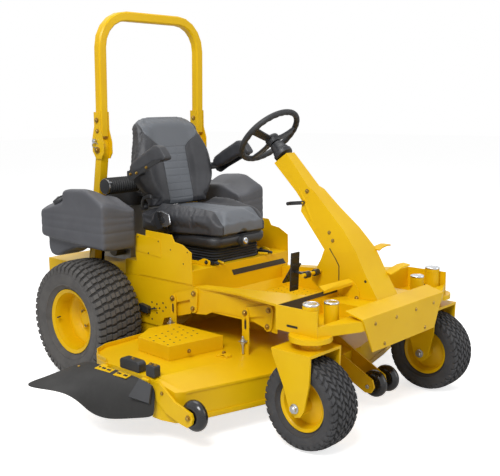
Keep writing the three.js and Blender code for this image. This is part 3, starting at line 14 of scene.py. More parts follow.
import bmesh
import bpy
from mathutils import Matrix, Quaternion, Vector

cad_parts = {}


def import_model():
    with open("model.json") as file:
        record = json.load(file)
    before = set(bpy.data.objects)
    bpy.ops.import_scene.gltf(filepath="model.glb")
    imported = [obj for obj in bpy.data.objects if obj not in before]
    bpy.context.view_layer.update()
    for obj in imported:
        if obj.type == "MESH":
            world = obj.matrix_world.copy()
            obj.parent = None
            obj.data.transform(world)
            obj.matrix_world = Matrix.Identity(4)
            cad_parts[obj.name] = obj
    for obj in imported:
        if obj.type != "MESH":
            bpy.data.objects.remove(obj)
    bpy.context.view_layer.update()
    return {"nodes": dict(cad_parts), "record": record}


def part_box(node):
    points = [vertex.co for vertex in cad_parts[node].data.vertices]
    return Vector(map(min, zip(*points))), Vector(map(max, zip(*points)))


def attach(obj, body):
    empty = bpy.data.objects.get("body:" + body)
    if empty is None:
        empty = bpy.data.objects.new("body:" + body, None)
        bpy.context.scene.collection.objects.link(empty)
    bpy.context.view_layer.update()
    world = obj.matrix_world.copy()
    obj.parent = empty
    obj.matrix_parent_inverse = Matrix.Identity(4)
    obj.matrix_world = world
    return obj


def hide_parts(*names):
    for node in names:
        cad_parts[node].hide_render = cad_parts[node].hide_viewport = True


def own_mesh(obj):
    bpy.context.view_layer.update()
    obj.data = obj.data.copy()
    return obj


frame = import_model()
LOG = logging.getLogger("mower")
STOOD_FOR: set[str] = set()

Point = tuple[float, float, float]
Outline = list[tuple[float, float]]


def axle_origin() -> Vector:
    """Place of the rear axle's middle on the ground, in metres, read from the frame."""
    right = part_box("rear_tyre_right")
    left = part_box("rear_tyre_left")
    x = (right[0][0] + right[1][0] + left[0][0] + left[1][0]) / 4
    y = (right[0][1] + right[1][1]) / 2
    return Vector((x, y, 0.0))


ORIGIN = axle_origin()


def world(point: Sequence[float]) -> Vector:
    """Turn a layout point in millimetres into the frame's metres."""
    return Vector(point) * 0.001 + ORIGIN


# Colours and materials


def linear(code: str) -> tuple[float, float, float, float]:
    """Turn an sRGB hex colour into linear values.

    Args:
        code: Six hex digits with a leading hash.

    Returns:
        Red, green, blue and alpha in linear light.
    """
    def channel(value: float) -> float:
        """One channel from sRGB to linear."""
        return value / 12.92 if value <= 0.04045 else ((value + 0.055) / 1.055) ** 2.4
    parts = [int(code[i:i + 2], 16) / 255 for i in (1, 3, 5)]
    return (*[channel(p) for p in parts], 1.0)


def add_node(tree: bpy.types.NodeTree, kind: str, values: Optional[dict] = None,
             links: Optional[dict] = None, **settings: object) -> bpy.types.Node:
    """Add a node with its settings, input values and incoming links.

    Args:
        tree: Node tree that gets the node.
        kind: Blender's type name of the node.
        values: Input values by socket name or number.
        links: Output sockets that feed inputs, by socket name or number.
        **settings: Attributes of the node itself.

    Returns:
        The new node.
    """
    node = tree.nodes.new(kind)
    for key, value in settings.items():
        setattr(node, key, value)
    for key, value in (values or {}).items():
        node.inputs[key].default_value = value
    for key, socket in (links or {}).items():
        tree.links.new(socket, node.inputs[key])
    return node


class Grain(Enum):
    """How a surface's fine relief is laid."""

    ORANGE_PEEL = "orange peel of powder coat"
    MOULD = "spark-eroded mould grain"
    VINYL = "embossed vinyl grain"
    RUBBER = "moulded rubber"
    CAST = "sand casting"
    BRUSHED = "drawn steel"
    SMOOTH = "plain"


@dataclass(frozen=True)
class Finish:
    """A real surface: what it is made of and how it was made.

    Args:
        name: The material's name.
        colour: Main sRGB colour.
        tone: Second sRGB colour that the main one drifts to.
        drift_mm: Size of the colour drift.
        roughness: Base roughness.
        metallic: Metal share.
        coat: Clear coat weight.
        grain: Kind of relief.
        grain_mm: Size of the relief.
        depth_mm: Height of the relief.
        dust: Share of pale dust in the colour.
        panel: sRGB colour inside a sewn panel, where the attribute "panel" is above zero millimetres.
        gloss: Specular level of the bare surface.
    """

    name: str
    colour: str
    tone: str
    drift_mm: float = 120.0
    roughness: float = 0.45
    metallic: float = 0.0
    coat: float = 0.0
    grain: Grain = Grain.SMOOTH
    grain_mm: float = 1.0
    depth_mm: float = 0.05
    dust: float = 0.0
    panel: str = ""
    gloss: float = 0.5

    def make(self) -> bpy.types.Material:
        """Build the node material, once, and return it."""
        known = bpy.data.materials.get(self.name)
        if known:
            return known
        material = bpy.data.materials.new(self.name)
        material.use_nodes = True
        material.diffuse_color = linear(self.colour)
        tree = material.node_tree
        tree.nodes.clear()
        place = add_node(tree, "ShaderNodeTexCoord").outputs["Object"]
        slow = add_node(tree, "ShaderNodeTexNoise", {"Scale": 1000 / self.drift_mm, "Detail": 4.0, "Roughness": 0.55},
                        {"Vector": place})
        spread = add_node(tree, "ShaderNodeMapRange", {"From Min": 0.35, "From Max": 0.65},
                          {"Value": slow.outputs["Fac"]})
        mix = add_node(tree, "ShaderNodeMix", {6: linear(self.colour), 7: linear(self.tone)},
                       {0: spread.outputs["Result"]}, data_type="RGBA")
        colour = mix.outputs[2]
        if self.panel:
            inside = add_node(tree, "ShaderNodeAttribute", attribute_name="panel").outputs["Fac"]
            share = add_node(tree, "ShaderNodeMapRange", {"From Min": -0.5, "From Max": 0.5}, {"Value": inside})
            colour = add_node(tree, "ShaderNodeMix", {7: linear(self.panel)}, {0: share.outputs["Result"], 6: colour},
                              data_type="RGBA").outputs[2]
            near = add_node(tree, "ShaderNodeMath", {}, {0: inside}, operation="ABSOLUTE")
            seam = add_node(tree, "ShaderNodeMapRange", {"From Min": 1.0, "From Max": 2.6, "To Min": 0.75, "To Max": 0.0},
                            {"Value": near.outputs[0]})
            colour = add_node(tree, "ShaderNodeMix", {7: linear("#17181a")}, {0: seam.outputs["Result"], 6: colour},
                              data_type="RGBA").outputs[2]
        if self.dust > 0:
            fine = add_node(tree, "ShaderNodeTexNoise", {"Scale": 38.0, "Detail": 6.0, "Roughness": 0.7}, {"Vector": place})
            share = add_node(tree, "ShaderNodeMapRange", {"From Min": 0.5, "From Max": 0.8, "To Max": self.dust},
                             {"Value": fine.outputs["Fac"]})
            dusty = add_node(tree, "ShaderNodeMix", {7: linear("#77746e")}, {0: share.outputs["Result"], 6: colour},
                             data_type="RGBA")
            colour = dusty.outputs[2]
        rough = add_node(tree, "ShaderNodeMapRange", {"To Min": max(0.02, self.roughness - 0.06),
                                                      "To Max": min(1.0, self.roughness + 0.08)},
                         {"Value": slow.outputs["Fac"]})
        shader = add_node(tree, "ShaderNodeBsdfPrincipled", {"Metallic": self.metallic, "Coat Weight": self.coat,
                                                             "Coat Roughness": 0.12, "Specular IOR Level": self.gloss},
                          {"Base Color": colour, "Roughness": rough.outputs["Result"]})
        height = self.relief(tree, place)
        if height is not None:
            bump = add_node(tree, "ShaderNodeBump", {"Strength": 0.6, "Distance": self.depth_mm * 0.001}, {"Height": height})
            tree.links.new(bump.outputs["Normal"], shader.inputs["Normal"])
        out = add_node(tree, "ShaderNodeOutputMaterial")
        tree.links.new(shader.outputs["BSDF"], out.inputs["Surface"])
        return material

    def relief(self, tree: bpy.types.NodeTree, place: bpy.types.NodeSocket) -> Optional[bpy.types.NodeSocket]:
        """Height pattern of the surface, or None on a plain one."""
        scale = 1000 / self.grain_mm
        if self.grain is Grain.SMOOTH:
            return None
        if self.grain is Grain.BRUSHED:
            squeeze = add_node(tree, "ShaderNodeMapping", {"Scale": (scale, scale * 0.05, scale)}, {"Vector": place})
            return add_node(tree, "ShaderNodeTexNoise", {"Scale": 1.0, "Detail": 3.0},
                            {"Vector": squeeze.outputs["Vector"]}).outputs["Fac"]
        if self.grain in (Grain.VINYL, Grain.MOULD):
            return add_node(tree, "ShaderNodeTexVoronoi", {"Scale": scale}, {"Vector": place},
                            feature="SMOOTH_F1").outputs["Distance"]
        return add_node(tree, "ShaderNodeTexNoise", {"Scale": scale, "Detail": 3.0, "Roughness": 0.6},
                        {"Vector": place}).outputs["Fac"]


# Polyester powder coat on welded steel: glossy, with a faint orange peel.
YELLOW = Finish("polyester_powder_coat_yellow", "#e6ba08", "#e0b104", 240, 0.36, 0.0, 0.04, Grain.ORANGE_PEEL, 7.0, 0.05,
                gloss=0.22)
# Rotomoulded polyethylene: dull, with a pebbled mould grain.
TANK = Finish("rotomoulded_polyethylene_charcoal", "#515257", "#494a4f", 160, 0.5, 0.0, 0.0, Grain.MOULD, 2.6, 0.12)
# Injection moulded ABS and nylon in black.
BLACK = Finish("moulded_abs_black", "#2b2c2f", "#242528", 90, 0.42, 0.0, 0.0, Grain.MOULD, 1.6, 0.05)
# Glossy nylon of the small rollers, polished by use.
GLOSS_BLACK = Finish("turned_nylon_black", "#1d1d1f", "#171719", 90, 0.22, 0.0, 0.2)
# Shadowed holes: the dark inside of a punched plate.
HOLE = Finish("punched_hole_shade", "#2a2013", "#221a0f", 30, 0.8)
# Black powder coat on steel brackets and pedals.
BLACK_COAT = Finish("powder_coat_black", "#232426", "#1b1c1e", 90, 0.36, 0.0, 0.1, Grain.ORANGE_PEEL, 5.0, 0.05)
# Tyre tread compound, dull with a little dust.
TYRE = Finish("tyre_compound", "#575553", "#4c4a49", 70, 0.75, 0.0, 0.0, Grain.RUBBER, 3.0, 0.15, 0.25)
# Newer, darker compound of the caster tyres.
CASTER_TYRE = Finish("tyre_compound_black", "#3f3f41", "#363638", 70, 0.7, 0.0, 0.0, Grain.RUBBER, 3.0, 0.15, 0.15)
# Carcass between the blocks, darker where no light reaches.
TYRE_DEEP = Finish("tyre_compound_grooves", "#2f2e2d", "#262525", 70, 0.8, 0.0, 0.0, Grain.RUBBER, 3.0, 0.15, 0.15)
# Moulded EPDM rubber of hose, deflector and grip mat.
RUBBER = Finish("moulded_epdm_rubber", "#28292b", "#212224", 80, 0.6, 0.0, 0.0, Grain.RUBBER, 2.4, 0.1, 0.05)
# Calendered rubber sheet of the discharge flap.
FLAP = Finish("calendered_rubber_sheet", "#1c1b1a", "#171615", 80, 0.62, 0.0, 0.0, Grain.RUBBER, 2.4, 0.1, 0.03)
# Embossed vinyl seat cloth, dark on the bolsters and lighter on the sewn panels.
VINYL = Finish("embossed_vinyl_two_tone", "#393a3e", "#313236", 60, 0.5, 0.0, 0.0, Grain.VINYL, 2.2, 0.14, 0.0, "#61656b")
VINYL_DARK = Finish("embossed_vinyl_charcoal", "#3f4044", "#37383c", 60, 0.5, 0.0, 0.0, Grain.VINYL, 2.2, 0.14)
# Bright zinc plating on bolts and pins.
ZINC = Finish("zinc_plated_steel", "#c3c5c8", "#b4b6b9", 20, 0.32, 1.0, 0.0, Grain.BRUSHED, 0.8, 0.02)
# Yellow chromate on zinc, as on most of the machine's screws.
PLATED = Finish("yellow_chromate_zinc_steel", "#b3934a", "#94763a", 20, 0.34, 1.0, 0.0, Grain.BRUSHED, 0.8, 0.02)
# Polished chrome of the hub caps.
CHROME = Finish("chrome_plate", "#d9dbde", "#cfd1d4", 40, 0.14, 1.0)
# Cast housings of engine and drive.
CAST = Finish("cast_iron_painted", "#46484b", "#3b3d40", 60, 0.6, 0.3, 0.0, Grain.CAST, 3.0, 0.2)
ALLOY = Finish("die_cast_alloy", "#96999d", "#86898d", 60, 0.45, 0.9, 0.0, Grain.CAST, 2.5, 0.1)


# Mesh kit


class Form:
    """A mesh under construction, in layout millimetres."""

    def __init__(self) -> None:
        """Start an empty mesh."""
        self.bm = bmesh.new()
        self.slot = 0

    def faces(self, points: Sequence[Sequence[float]], polygons: Iterable[Sequence[int]]) -> None:
        """Add points and the faces over them in the current material slot."""
        made = [self.bm.verts.new(p) for p in points]
        for polygon in polygons:
            try:
                face = self.bm.faces.new([made[i] for i in polygon])
                face.material_index = self.slot
            except ValueError:
                continue

    def prism(self, axis: str, outline: Sequence[Sequence[float]], low: float, high: float) -> "Form":
        """Add a straight prism of a flat outline.

        Args:
            axis: Axis it runs along: x takes (y, z), y takes (x, z), z takes (x, y) points.
            outline: Corner points.
            low: Start along the axis.
            high: End along the axis.

        Returns:
            The form itself.
        """
        def at(u: float, v: float, w: float) -> Point:
            """Point of the outline at w along the axis."""
            return {"x": (w, u, v), "y": (u, w, v), "z": (u, v, w)}[axis]
        count = len(outline)
        points = [at(u, v, low) for u, v in outline] + [at(u, v, high) for u, v in outline]
        sides = [(i, (i + 1) % count, count + (i + 1) % count, count + i) for i in range(count)]
        self.faces(points, [tuple(range(count))[::-1], tuple(range(count, 2 * count)), *sides])
        return self

    def block(self, low: Point, high: Point) -> "Form":
        """Add a box between two corners."""
        return self.prism("z", [(low[0], low[1]), (high[0], low[1]), (high[0], high[1]), (low[0], high[1])], low[2], high[2])

    def lathe(self, profile: Sequence[tuple[float, float]], origin: Point, axis: Point, segments: int = 48,
              closed: bool = True) -> "Form":
        """Turn (radius, along) points about an axis through origin."""
        spin = Vector((0, 0, 1)).rotation_difference(Vector(axis).normalized())
        base = Vector(origin)
        points: list[Vector] = []
        rings: list[list[int]] = []
        for radius, along in profile:
            if radius < 1e-4:
                points.append(base + spin @ Vector((0, 0, along)))
                rings.append([len(points) - 1] * segments)
                continue
            ring = []
            for k in range(segments):
                turn = 2 * math.pi * k / segments
                points.append(base + spin @ Vector((radius * math.cos(turn), radius * math.sin(turn), along)))
                ring.append(len(points) - 1)
            rings.append(ring)
        pairs = list(zip(rings, rings[1:]))
        if closed and profile[0][0] > 1e-4 and profile[-1][0] > 1e-4:
            pairs.append((rings[-1], rings[0]))
        polygons = []
        for a, b in pairs:
            for k in range(segments):
                n = (k + 1) % segments
                polygon = [a[k], a[n], b[n], b[k]]
                unique = list(dict.fromkeys(polygon))
                if len(unique) > 2:
                    polygons.append(unique)
        self.faces(points, polygons)
        return self

    def rod(self, start: Point, end: Point, radius: float, segments: int = 24, chamfer: float = 0.0) -> "Form":
        """Add a solid round bar between two points."""
        a, b = Vector(start), Vector(end)
        long = (b - a).length
        c = chamfer
        profile = [(0, 0), (radius - c, 0), (radius, c), (radius, long - c), (radius - c, long), (0, long)]
        if not c:
            profile = [(0, 0), (radius, 0), (radius, long), (0, long)]
        return self.lathe(profile, tuple(a), tuple(b - a), segments, closed=False)

    def sweep(self, path: Sequence[Sequence[float]], section: Sequence[tuple[float, float]], side: Point,
              closed: bool = False) -> "Form":
        """Carry a flat section along a path.

        Args:
            path: Points of the path.
            section: (side, up) points of the section.
            side: A direction that the section's first axis keeps closest to.
            closed: Whether the path returns to its start.

        Returns:
            The form itself.
        """
        spots = [Vector(p) for p in path]
        count = len(spots)
        points: list[Vector] = []
        for i, spot in enumerate(spots):
            before = spots[i - 1] if i or closed else spot
            after = spots[(i + 1) % count] if i < count - 1 or closed else spot
            tangent = (after - before).normalized()
            across = Vector(side)
            across = (across - tangent * across.dot(tangent)).normalized()
            up = tangent.cross(across)
            points.extend(spot + across * u + up * v for u, v in section)
        ring = len(section)
        steps = count if closed else count - 1
        polygons: list[Sequence[int]] = []
        for i in range(steps):
            a, b = i * ring, ((i + 1) % count) * ring
            polygons.extend((a + k, a + (k + 1) % ring, b + (k + 1) % ring, b + k) for k in range(ring))
        if not closed:
            polygons.append(tuple(range(ring))[::-1])
            polygons.append(tuple((count - 1) * ring + k for k in range(ring)))
        self.faces(points, polygons)
        return self

    def shift(self, change: Callable[[Vector], Vector]) -> "Form":
        """Move every point by a function of its place."""
        for vert in self.bm.verts:
            vert.co = change(vert.co.copy())
        return self

    def mesh(self, name: str) -> bpy.types.Mesh:
        """Write the form as a mesh in the frame's metres, faces pointing out."""
        bmesh.ops.remove_doubles(self.bm, verts=self.bm.verts, dist=0.001)
        bmesh.ops.recalc_face_normals(self.bm, faces=self.bm.faces)
        for vert in self.bm.verts:
            vert.co = world(vert.co)
        data = bpy.data.meshes.new(name)
        self.bm.to_mesh(data)
        self.bm.free()
        return data


def round_section(width: float, height: float, radius: float, steps: int = 4) -> Outline:
    """Rectangle with rounded corners, as points round its middle."""
    points: Outline = []
    for cx, cy, start in ((1, 1, 0), (-1, 1, 90), (-1, -1, 180), (1, -1, 270)):
        for k in range(steps + 1):
            turn = math.radians(start + 90 * k / steps)
            points.append((cx * (width / 2 - radius) + radius * math.cos(turn),
                           cy * (height / 2 - radius) + radius * math.sin(turn)))
    return points


def circle_section(radius: float, count: int = 16) -> Outline:
    """Points of a circle."""
    return [(radius * math.cos(2 * math.pi * k / count), radius * math.sin(2 * math.pi * k / count)) for k in range(count)]


def rounded(outline: Sequence[Sequence[float]], radius: float, steps: int = 4) -> Outline:
    """Round the corners of an outline by arcs of up to the given radius."""
    points = [Vector((p[0], p[1])) for p in outline]
    result: Outline = []
    count = len(points)
    for i, point in enumerate(points):
        back = points[i - 1] - point
        ahead = points[(i + 1) % count] - point
        reach = min(radius, back.length * 0.45, ahead.length * 0.45)
        a = point + back.normalized() * reach
        b = point + ahead.normalized() * reach
        for k in range(steps + 1):
            t = k / steps
            spot = a * (1 - t) ** 2 + point * (2 * t * (1 - t)) + b * t ** 2
            result.append((spot.x, spot.y))
    return result


def spread(shares: Sequence[tuple[float, float]], start: float, reach: float, low: float, height: float) -> Outline:
    """Outline points of shares along a reach and a height, as the solids' own tables give them."""
    return [(start + a * reach, low + b * height) for a, b in shares]


def smooth(value: float) -> float:
    """Ease from 0 to 1."""
    t = max(0.0, min(1.0, value))
    return t * t * (3 - 2 * t)


def dress(name: str, mesh: bpy.types.Mesh, finishes: Sequence[Finish], body: str,
          nodes: Sequence[str] = (), bevel: float = 0.0, angle: float = 32.0, segments: int = 2) -> bpy.types.Object:
    """Make a finished piece of a mesh and hand it to the frame.

    Args:
        name: The piece's name.
        mesh: Its mesh, already in place.
        finishes: Finishes in the order of its material slots.
        body: The body it moves with.
        nodes: Solids that it stands for.
        bevel: Width of the edge rounding in millimetres, or none.
        angle: Edges sharper than this many degrees stay crisp or are rounded.
        segments: Steps of the rounding.

    Returns:
        The new object.
    """
    piece = bpy.data.objects.new(name, mesh)
    bpy.context.scene.collection.objects.link(piece)
    if len(mesh.materials) == 0:
        for finish in finishes:
            mesh.materials.append(finish.make())
    mesh.shade_smooth()
    if bevel > 0:
        rounder = piece.modifiers.new("edge rounding", "BEVEL")
        rounder.width = bevel * 0.001
        rounder.segments = segments
        rounder.limit_method = "ANGLE"
        rounder.angle_limit = math.radians(angle)
        rounder.use_clamp_overlap = True
        even = piece.modifiers.new("even shading", "WEIGHTED_NORMAL")
        even.keep_sharp = True
        baked = settle(piece)
        piece.modifiers.clear()
        piece.data = baked
        mesh = baked
    if not bevel:
        mesh.set_sharp_from_angle(angle=math.radians(angle))
    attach(piece, body)
    if nodes:
        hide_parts(*nodes)
        STOOD_FOR.update(nodes)
    LOG.info("piece %s rides on %s", name, body)
    return piece


def settle(piece: bpy.types.Object) -> bpy.types.Mesh:
    """Plain mesh of a piece with its modifiers worked in."""
    bpy.context.view_layer.update()
    graph = bpy.context.evaluated_depsgraph_get()
    return bpy.data.meshes.new_from_object(piece.evaluated_get(graph))


def refined(node: str, finish: Finish, bevel: float = 1.5, angle: float = 32.0) -> None:
    """Stand a smooth-edged copy of a rigid solid in its place."""
    source = frame["nodes"][node]
    bm = bmesh.new()
    bm.from_mesh(source.data)
    bmesh.ops.remove_doubles(bm, verts=bm.verts, dist=0.00002)
    bmesh.ops.dissolve_limit(bm, angle_limit=math.radians(1.0), verts=bm.verts, edges=bm.edges)
    mesh = bpy.data.meshes.new(node + "_fine")
    bm.to_mesh(mesh)
    bm.free()
    mesh.materials.clear()
    body = body_of(node)
    dress(node + "_fine", mesh, [finish], body, [node], bevel, angle)


def body_of(node: str) -> str:
    """Name of the body that holds a node."""
    bodies = frame["record"]["behaviour"]["bodies"]
    return next(name for name, held in bodies.items() if node in held)


# Repeats by Geometry Nodes


def radial_tree() -> bpy.types.NodeTree:
    """Node tree that repeats an object round an axis through its own origin."""
    known = bpy.data.node_groups.get("repeat round an axis")
    if known:
        return known
    tree = bpy.data.node_groups.new("repeat round an axis", "GeometryNodeTree")
    face = tree.interface
    face.new_socket("Geometry", in_out="INPUT", socket_type="NodeSocketGeometry")
    face.new_socket("Piece", in_out="INPUT", socket_type="NodeSocketObject")
    face.new_socket("Count", in_out="INPUT", socket_type="NodeSocketInt")
    face.new_socket("Centre", in_out="INPUT", socket_type="NodeSocketVector")
    face.new_socket("Turn", in_out="INPUT", socket_type="NodeSocketVector")
    face.new_socket("Finish", in_out="INPUT", socket_type="NodeSocketMaterial")
    face.new_socket("Geometry", in_out="OUTPUT", socket_type="NodeSocketGeometry")
    given = add_node(tree, "NodeGroupInput")
    points = add_node(tree, "GeometryNodePoints", {}, {"Count": given.outputs["Count"], "Position": given.outputs["Centre"]})
    index = add_node(tree, "GeometryNodeInputIndex")
    step = add_node(tree, "ShaderNodeMath", {0: 2 * math.pi}, {1: given.outputs["Count"]}, operation="DIVIDE")
    angle = add_node(tree, "ShaderNodeMath", {}, {0: index.outputs[0], 1: step.outputs[0]}, operation="MULTIPLY")
    turn = add_node(tree, "ShaderNodeVectorMath", {}, {"Vector": given.outputs["Turn"], "Scale": angle.outputs[0]},
                    operation="SCALE")
    info = add_node(tree, "GeometryNodeObjectInfo", {}, {"Object": given.outputs["Piece"]})
    copies = add_node(tree, "GeometryNodeInstanceOnPoints", {}, {"Points": points.outputs[0], "Instance": info.outputs["Geometry"],
                                                                 "Rotation": turn.outputs[0]})
    real = add_node(tree, "GeometryNodeRealizeInstances", {}, {"Geometry": copies.outputs[0]})
    dressed = add_node(tree, "GeometryNodeSetMaterial", {}, {"Geometry": real.outputs[0], "Material": given.outputs["Finish"]})
    add_node(tree, "NodeGroupOutput", {}, {0: dressed.outputs[0]})
    return tree


def spots_tree() -> bpy.types.NodeTree:
    """Node tree that stands an object on each point of a host, aimed and scaled by the host's values."""
    known = bpy.data.node_groups.get("stand on spots")
    if known:
        return known
    tree = bpy.data.node_groups.new("stand on spots", "GeometryNodeTree")
    face = tree.interface
    face.new_socket("Geometry", in_out="INPUT", socket_type="NodeSocketGeometry")
    face.new_socket("Piece", in_out="INPUT", socket_type="NodeSocketObject")
    face.new_socket("Size", in_out="INPUT", socket_type="NodeSocketFloat")
    face.new_socket("Finish", in_out="INPUT", socket_type="NodeSocketMaterial")
    face.new_socket("Geometry", in_out="OUTPUT", socket_type="NodeSocketGeometry")
    given = add_node(tree, "NodeGroupInput")
    aim = add_node(tree, "GeometryNodeInputNamedAttribute", {"Name": "aim"}, data_type="FLOAT_VECTOR")
    share = add_node(tree, "GeometryNodeInputNamedAttribute", {"Name": "share"}, data_type="FLOAT")
    align = add_node(tree, "FunctionNodeAlignRotationToVector", {}, {"Vector": aim.outputs["Attribute"]}, axis="Z")
    info = add_node(tree, "GeometryNodeObjectInfo", {}, {"Object": given.outputs["Piece"]})
    size = add_node(tree, "ShaderNodeMath", {}, {0: given.outputs["Size"], 1: share.outputs["Attribute"]}, operation="MULTIPLY")
    copies = add_node(tree, "GeometryNodeInstanceOnPoints", {},
                      {"Points": given.outputs["Geometry"], "Instance": info.outputs["Geometry"],
                       "Rotation": align.outputs["Rotation"], "Scale": size.outputs[0]})
    real = add_node(tree, "GeometryNodeRealizeInstances", {}, {"Geometry": copies.outputs[0]})
    dressed = add_node(tree, "GeometryNodeSetMaterial", {}, {"Geometry": real.outputs[0], "Material": given.outputs["Finish"]})
    add_node(tree, "NodeGroupOutput", {}, {0: dressed.outputs[0]})
    return tree


def run_tree(host: bpy.types.Mesh, tree: bpy.types.NodeTree, values: dict[str, object]) -> bpy.types.Mesh:
    """Evaluate a node tree over a host mesh and return the plain result."""
    holder = bpy.data.objects.new("host", host)
    bpy.context.scene.collection.objects.link(holder)
    modifier = holder.modifiers.new("repeat", "NODES")
    modifier.node_group = tree
    for item in tree.interface.items_tree:
        if item.item_type == "SOCKET" and item.in_out == "INPUT" and item.name in values:
            modifier[item.identifier] = values[item.name]
    baked = settle(holder)
    bpy.data.objects.remove(holder)
    return baked


def template(name: str, form: Form) -> bpy.types.Object:
    """Hidden object that a tree repeats, its mesh in metres round the origin."""
    data = bpy.data.meshes.new(name)
    bmesh.ops.recalc_face_normals(form.bm, faces=form.bm.faces)
    for vert in form.bm.verts:
        vert.co = vert.co * 0.001
    form.bm.to_mesh(data)
    form.bm.free()
    return bpy.data.objects.new(name, data)


def joined(meshes: Sequence[bpy.types.Mesh], name: str) -> bpy.types.Mesh:
    """One mesh of several, keeping their materials."""
    finishes: list[bpy.types.Material] = []
    bm = bmesh.new()
    for mesh in meshes:
        start = len(bm.faces)
        bm.from_mesh(mesh)
        bm.faces.ensure_lookup_table()
        for face in bm.faces[start:]:
            held = list(mesh.materials)
            material = held[min(face.material_index, len(held) - 1)] if held else None
            if material not in finishes:
                finishes.append(material)
            face.material_index = finishes.index(material)
    data = bpy.data.meshes.new(name)
    bm.to_mesh(data)
    bm.free()
    for material in finishes:
        data.materials.append(material)
    return data


def finished(mesh: bpy.types.Mesh, finish: Finish) -> bpy.types.Mesh:
    """Give a mesh one material."""
    mesh.materials.clear()
    mesh.materials.append(finish.make())
    return mesh


class Head(Enum):
    """What a fastening looks like from outside, made 16 mm wide."""

    BOLT = "flange bolt head"
    HOLE = "punched hole"
    SLOT = "punched slot"
    CARRIAGE = "carriage bolt head"
    GRIP = "raised grip dimple"

    def form(self) -> Form:
        """Its small mesh, looking along Z."""
        form = Form()
        if self is Head.BOLT:
            form.lathe([(0, 0), (11, 0), (11, 1.8), (8.8, 2.6), (0, 2.6)], (0, 0, 0), (0, 0, 1), 14, closed=False)
            hexagon = [(8.6 * math.cos(math.radians(60 * k)), 8.6 * math.sin(math.radians(60 * k))) for k in range(6)]
            form.prism("z", hexagon, 2.4, 8.0)
            form.lathe([(0, 7.9), (6.4, 7.9), (5.0, 9.4), (0, 9.4)], (0, 0, 0), (0, 0, 1), 10, closed=False)
        elif self is Head.CARRIAGE:
            form.lathe([(0, 0), (9, 0), (8.6, 1.8), (6.6, 3.8), (3.4, 4.8), (0, 5.2)], (0, 0, 0), (0, 0, 1), 14, closed=False)
        elif self is Head.GRIP:
            form.lathe([(0, 0), (8, 0), (6.4, 2.2), (4.4, 2.6), (3.0, 0.8), (0, 0.6)], (0, 0, 0), (0, 0, 1), 8, closed=False)
        elif self is Head.SLOT:
            form.prism("z", [(x, y) for x, y in rounded([(-14, -5), (14, -5), (14, 5), (-14, 5)], 5)], 0.0, 0.5)
        else:
            form.lathe([(0, 0), (8, 0), (8, 0.5), (0, 0.5)], (0, 0, 0), (0, 0, 1), 12, closed=False)
        return form


@dataclass
class Fasteners:
    """Bolts, holes and rivets of one body, stood on their seats by one node tree."""

    name: str
    body: str
    slot: str
    finish: Finish = PLATED
    head: Head = Head.BOLT
    spots: list[tuple[Point, Point, float]] = field(default_factory=list)

    def put(self, place: Point, aim: Point, across: float = 16.0) -> None:
        """Add one, of the given width."""
        self.spots.append((place, aim, across / 16.0))

    def row(self, start: Point, end: Point, count: int, aim: Point, across: float = 16.0) -> None:
        """Add a straight row from start to end."""
        for k in range(count):
            t = k / max(1, count - 1)
            self.put(tuple(a + (b - a) * t for a, b in zip(start, end)), aim, across)

    def build(self) -> None:
        """Stand them all and hand them to the frame."""
        host = bpy.data.meshes.new(self.name + " seats")
        host.from_pydata([world(p) for p, _, _ in self.spots], [], [])
        host.attributes.new("aim", "FLOAT_VECTOR", "POINT")
        host.attributes.new("share", "FLOAT", "POINT")
        aim, share = host.attributes["aim"].data, host.attributes["share"].data
        for i, (_, direction, scale) in enumerate(self.spots):
            aim[i].vector = Vector(direction).normalized()
            share[i].value = scale
        piece = bpy.data.objects.get(self.head.value) or template(self.head.value, self.head.form())
        mesh = run_tree(host, spots_tree(), {"Piece": piece, "Size": 1.0, "Finish": self.finish.make()})
        dress(self.name, mesh, [self.finish], self.body)


# Soft and rotomoulded forms


def remeshed(mesh: bpy.types.Mesh, voxel_mm: float, rounds: int = 0, factor: float = 0.5) -> bpy.types.Mesh:
    """Remesh a closed form evenly and round it off.

    Args:
        mesh: Closed mesh.
        voxel_mm: Cell size.
        rounds: Rounds of smoothing.
        factor: Strength of each round.

    Returns:
        The new mesh.
    """
    holder = bpy.data.objects.new("form", mesh)
    bpy.context.scene.collection.objects.link(holder)
    even = holder.modifiers.new("even cells", "REMESH")
    even.mode = "VOXEL"
    even.voxel_size = voxel_mm * 0.001
    if rounds:
        soften = holder.modifiers.new("soften", "SMOOTH")
        soften.iterations = rounds
        soften.factor = factor
    baked = settle(holder)
    bpy.data.objects.remove(holder)
    return baked


def inflated(mesh: bpy.types.Mesh, pressure: float, cap_mm: float) -> bpy.types.Mesh:
    """Swell a closed form by cloth simulation, no point further than the cap."""
    start = [v.co.copy() for v in mesh.vertices]
    holder = bpy.data.objects.new("padding", mesh)
    bpy.context.scene.collection.objects.link(holder)
    cloth = holder.modifiers.new("cloth", "CLOTH")
    cloth.settings.use_pressure = True
    cloth.settings.uniform_pressure_force = pressure
    cloth.settings.effector_weights.gravity = 0
    cloth.settings.quality = 4
    cloth.settings.tension_stiffness = 18
    cloth.settings.compression_stiffness = 18
    cloth.settings.bending_stiffness = 2.0
    cloth.point_cache.frame_start = 1
    cloth.point_cache.frame_end = 20
    scene = bpy.context.scene
    for step in range(1, 21):
        scene.frame_set(step)
    baked = settle(holder)
    bpy.data.objects.remove(holder)
    scene.frame_set(1)
    for vert, origin in zip(baked.vertices, start):
        move = vert.co - origin
        if move.length > cap_mm * 0.001:
            vert.co = origin + move.normalized() * cap_mm * 0.001
    return baked


def subdivided(mesh: bpy.types.Mesh) -> bpy.types.Mesh:
    """One level of subdivision worked in."""
    holder = bpy.data.objects.new("form", mesh)
    bpy.context.scene.collection.objects.link(holder)
    finer = holder.modifiers.new("finer", "SUBSURF")
    finer.levels = 1
    finer.render_levels = 1
    baked = settle(holder)
    bpy.data.objects.remove(holder)
    return baked


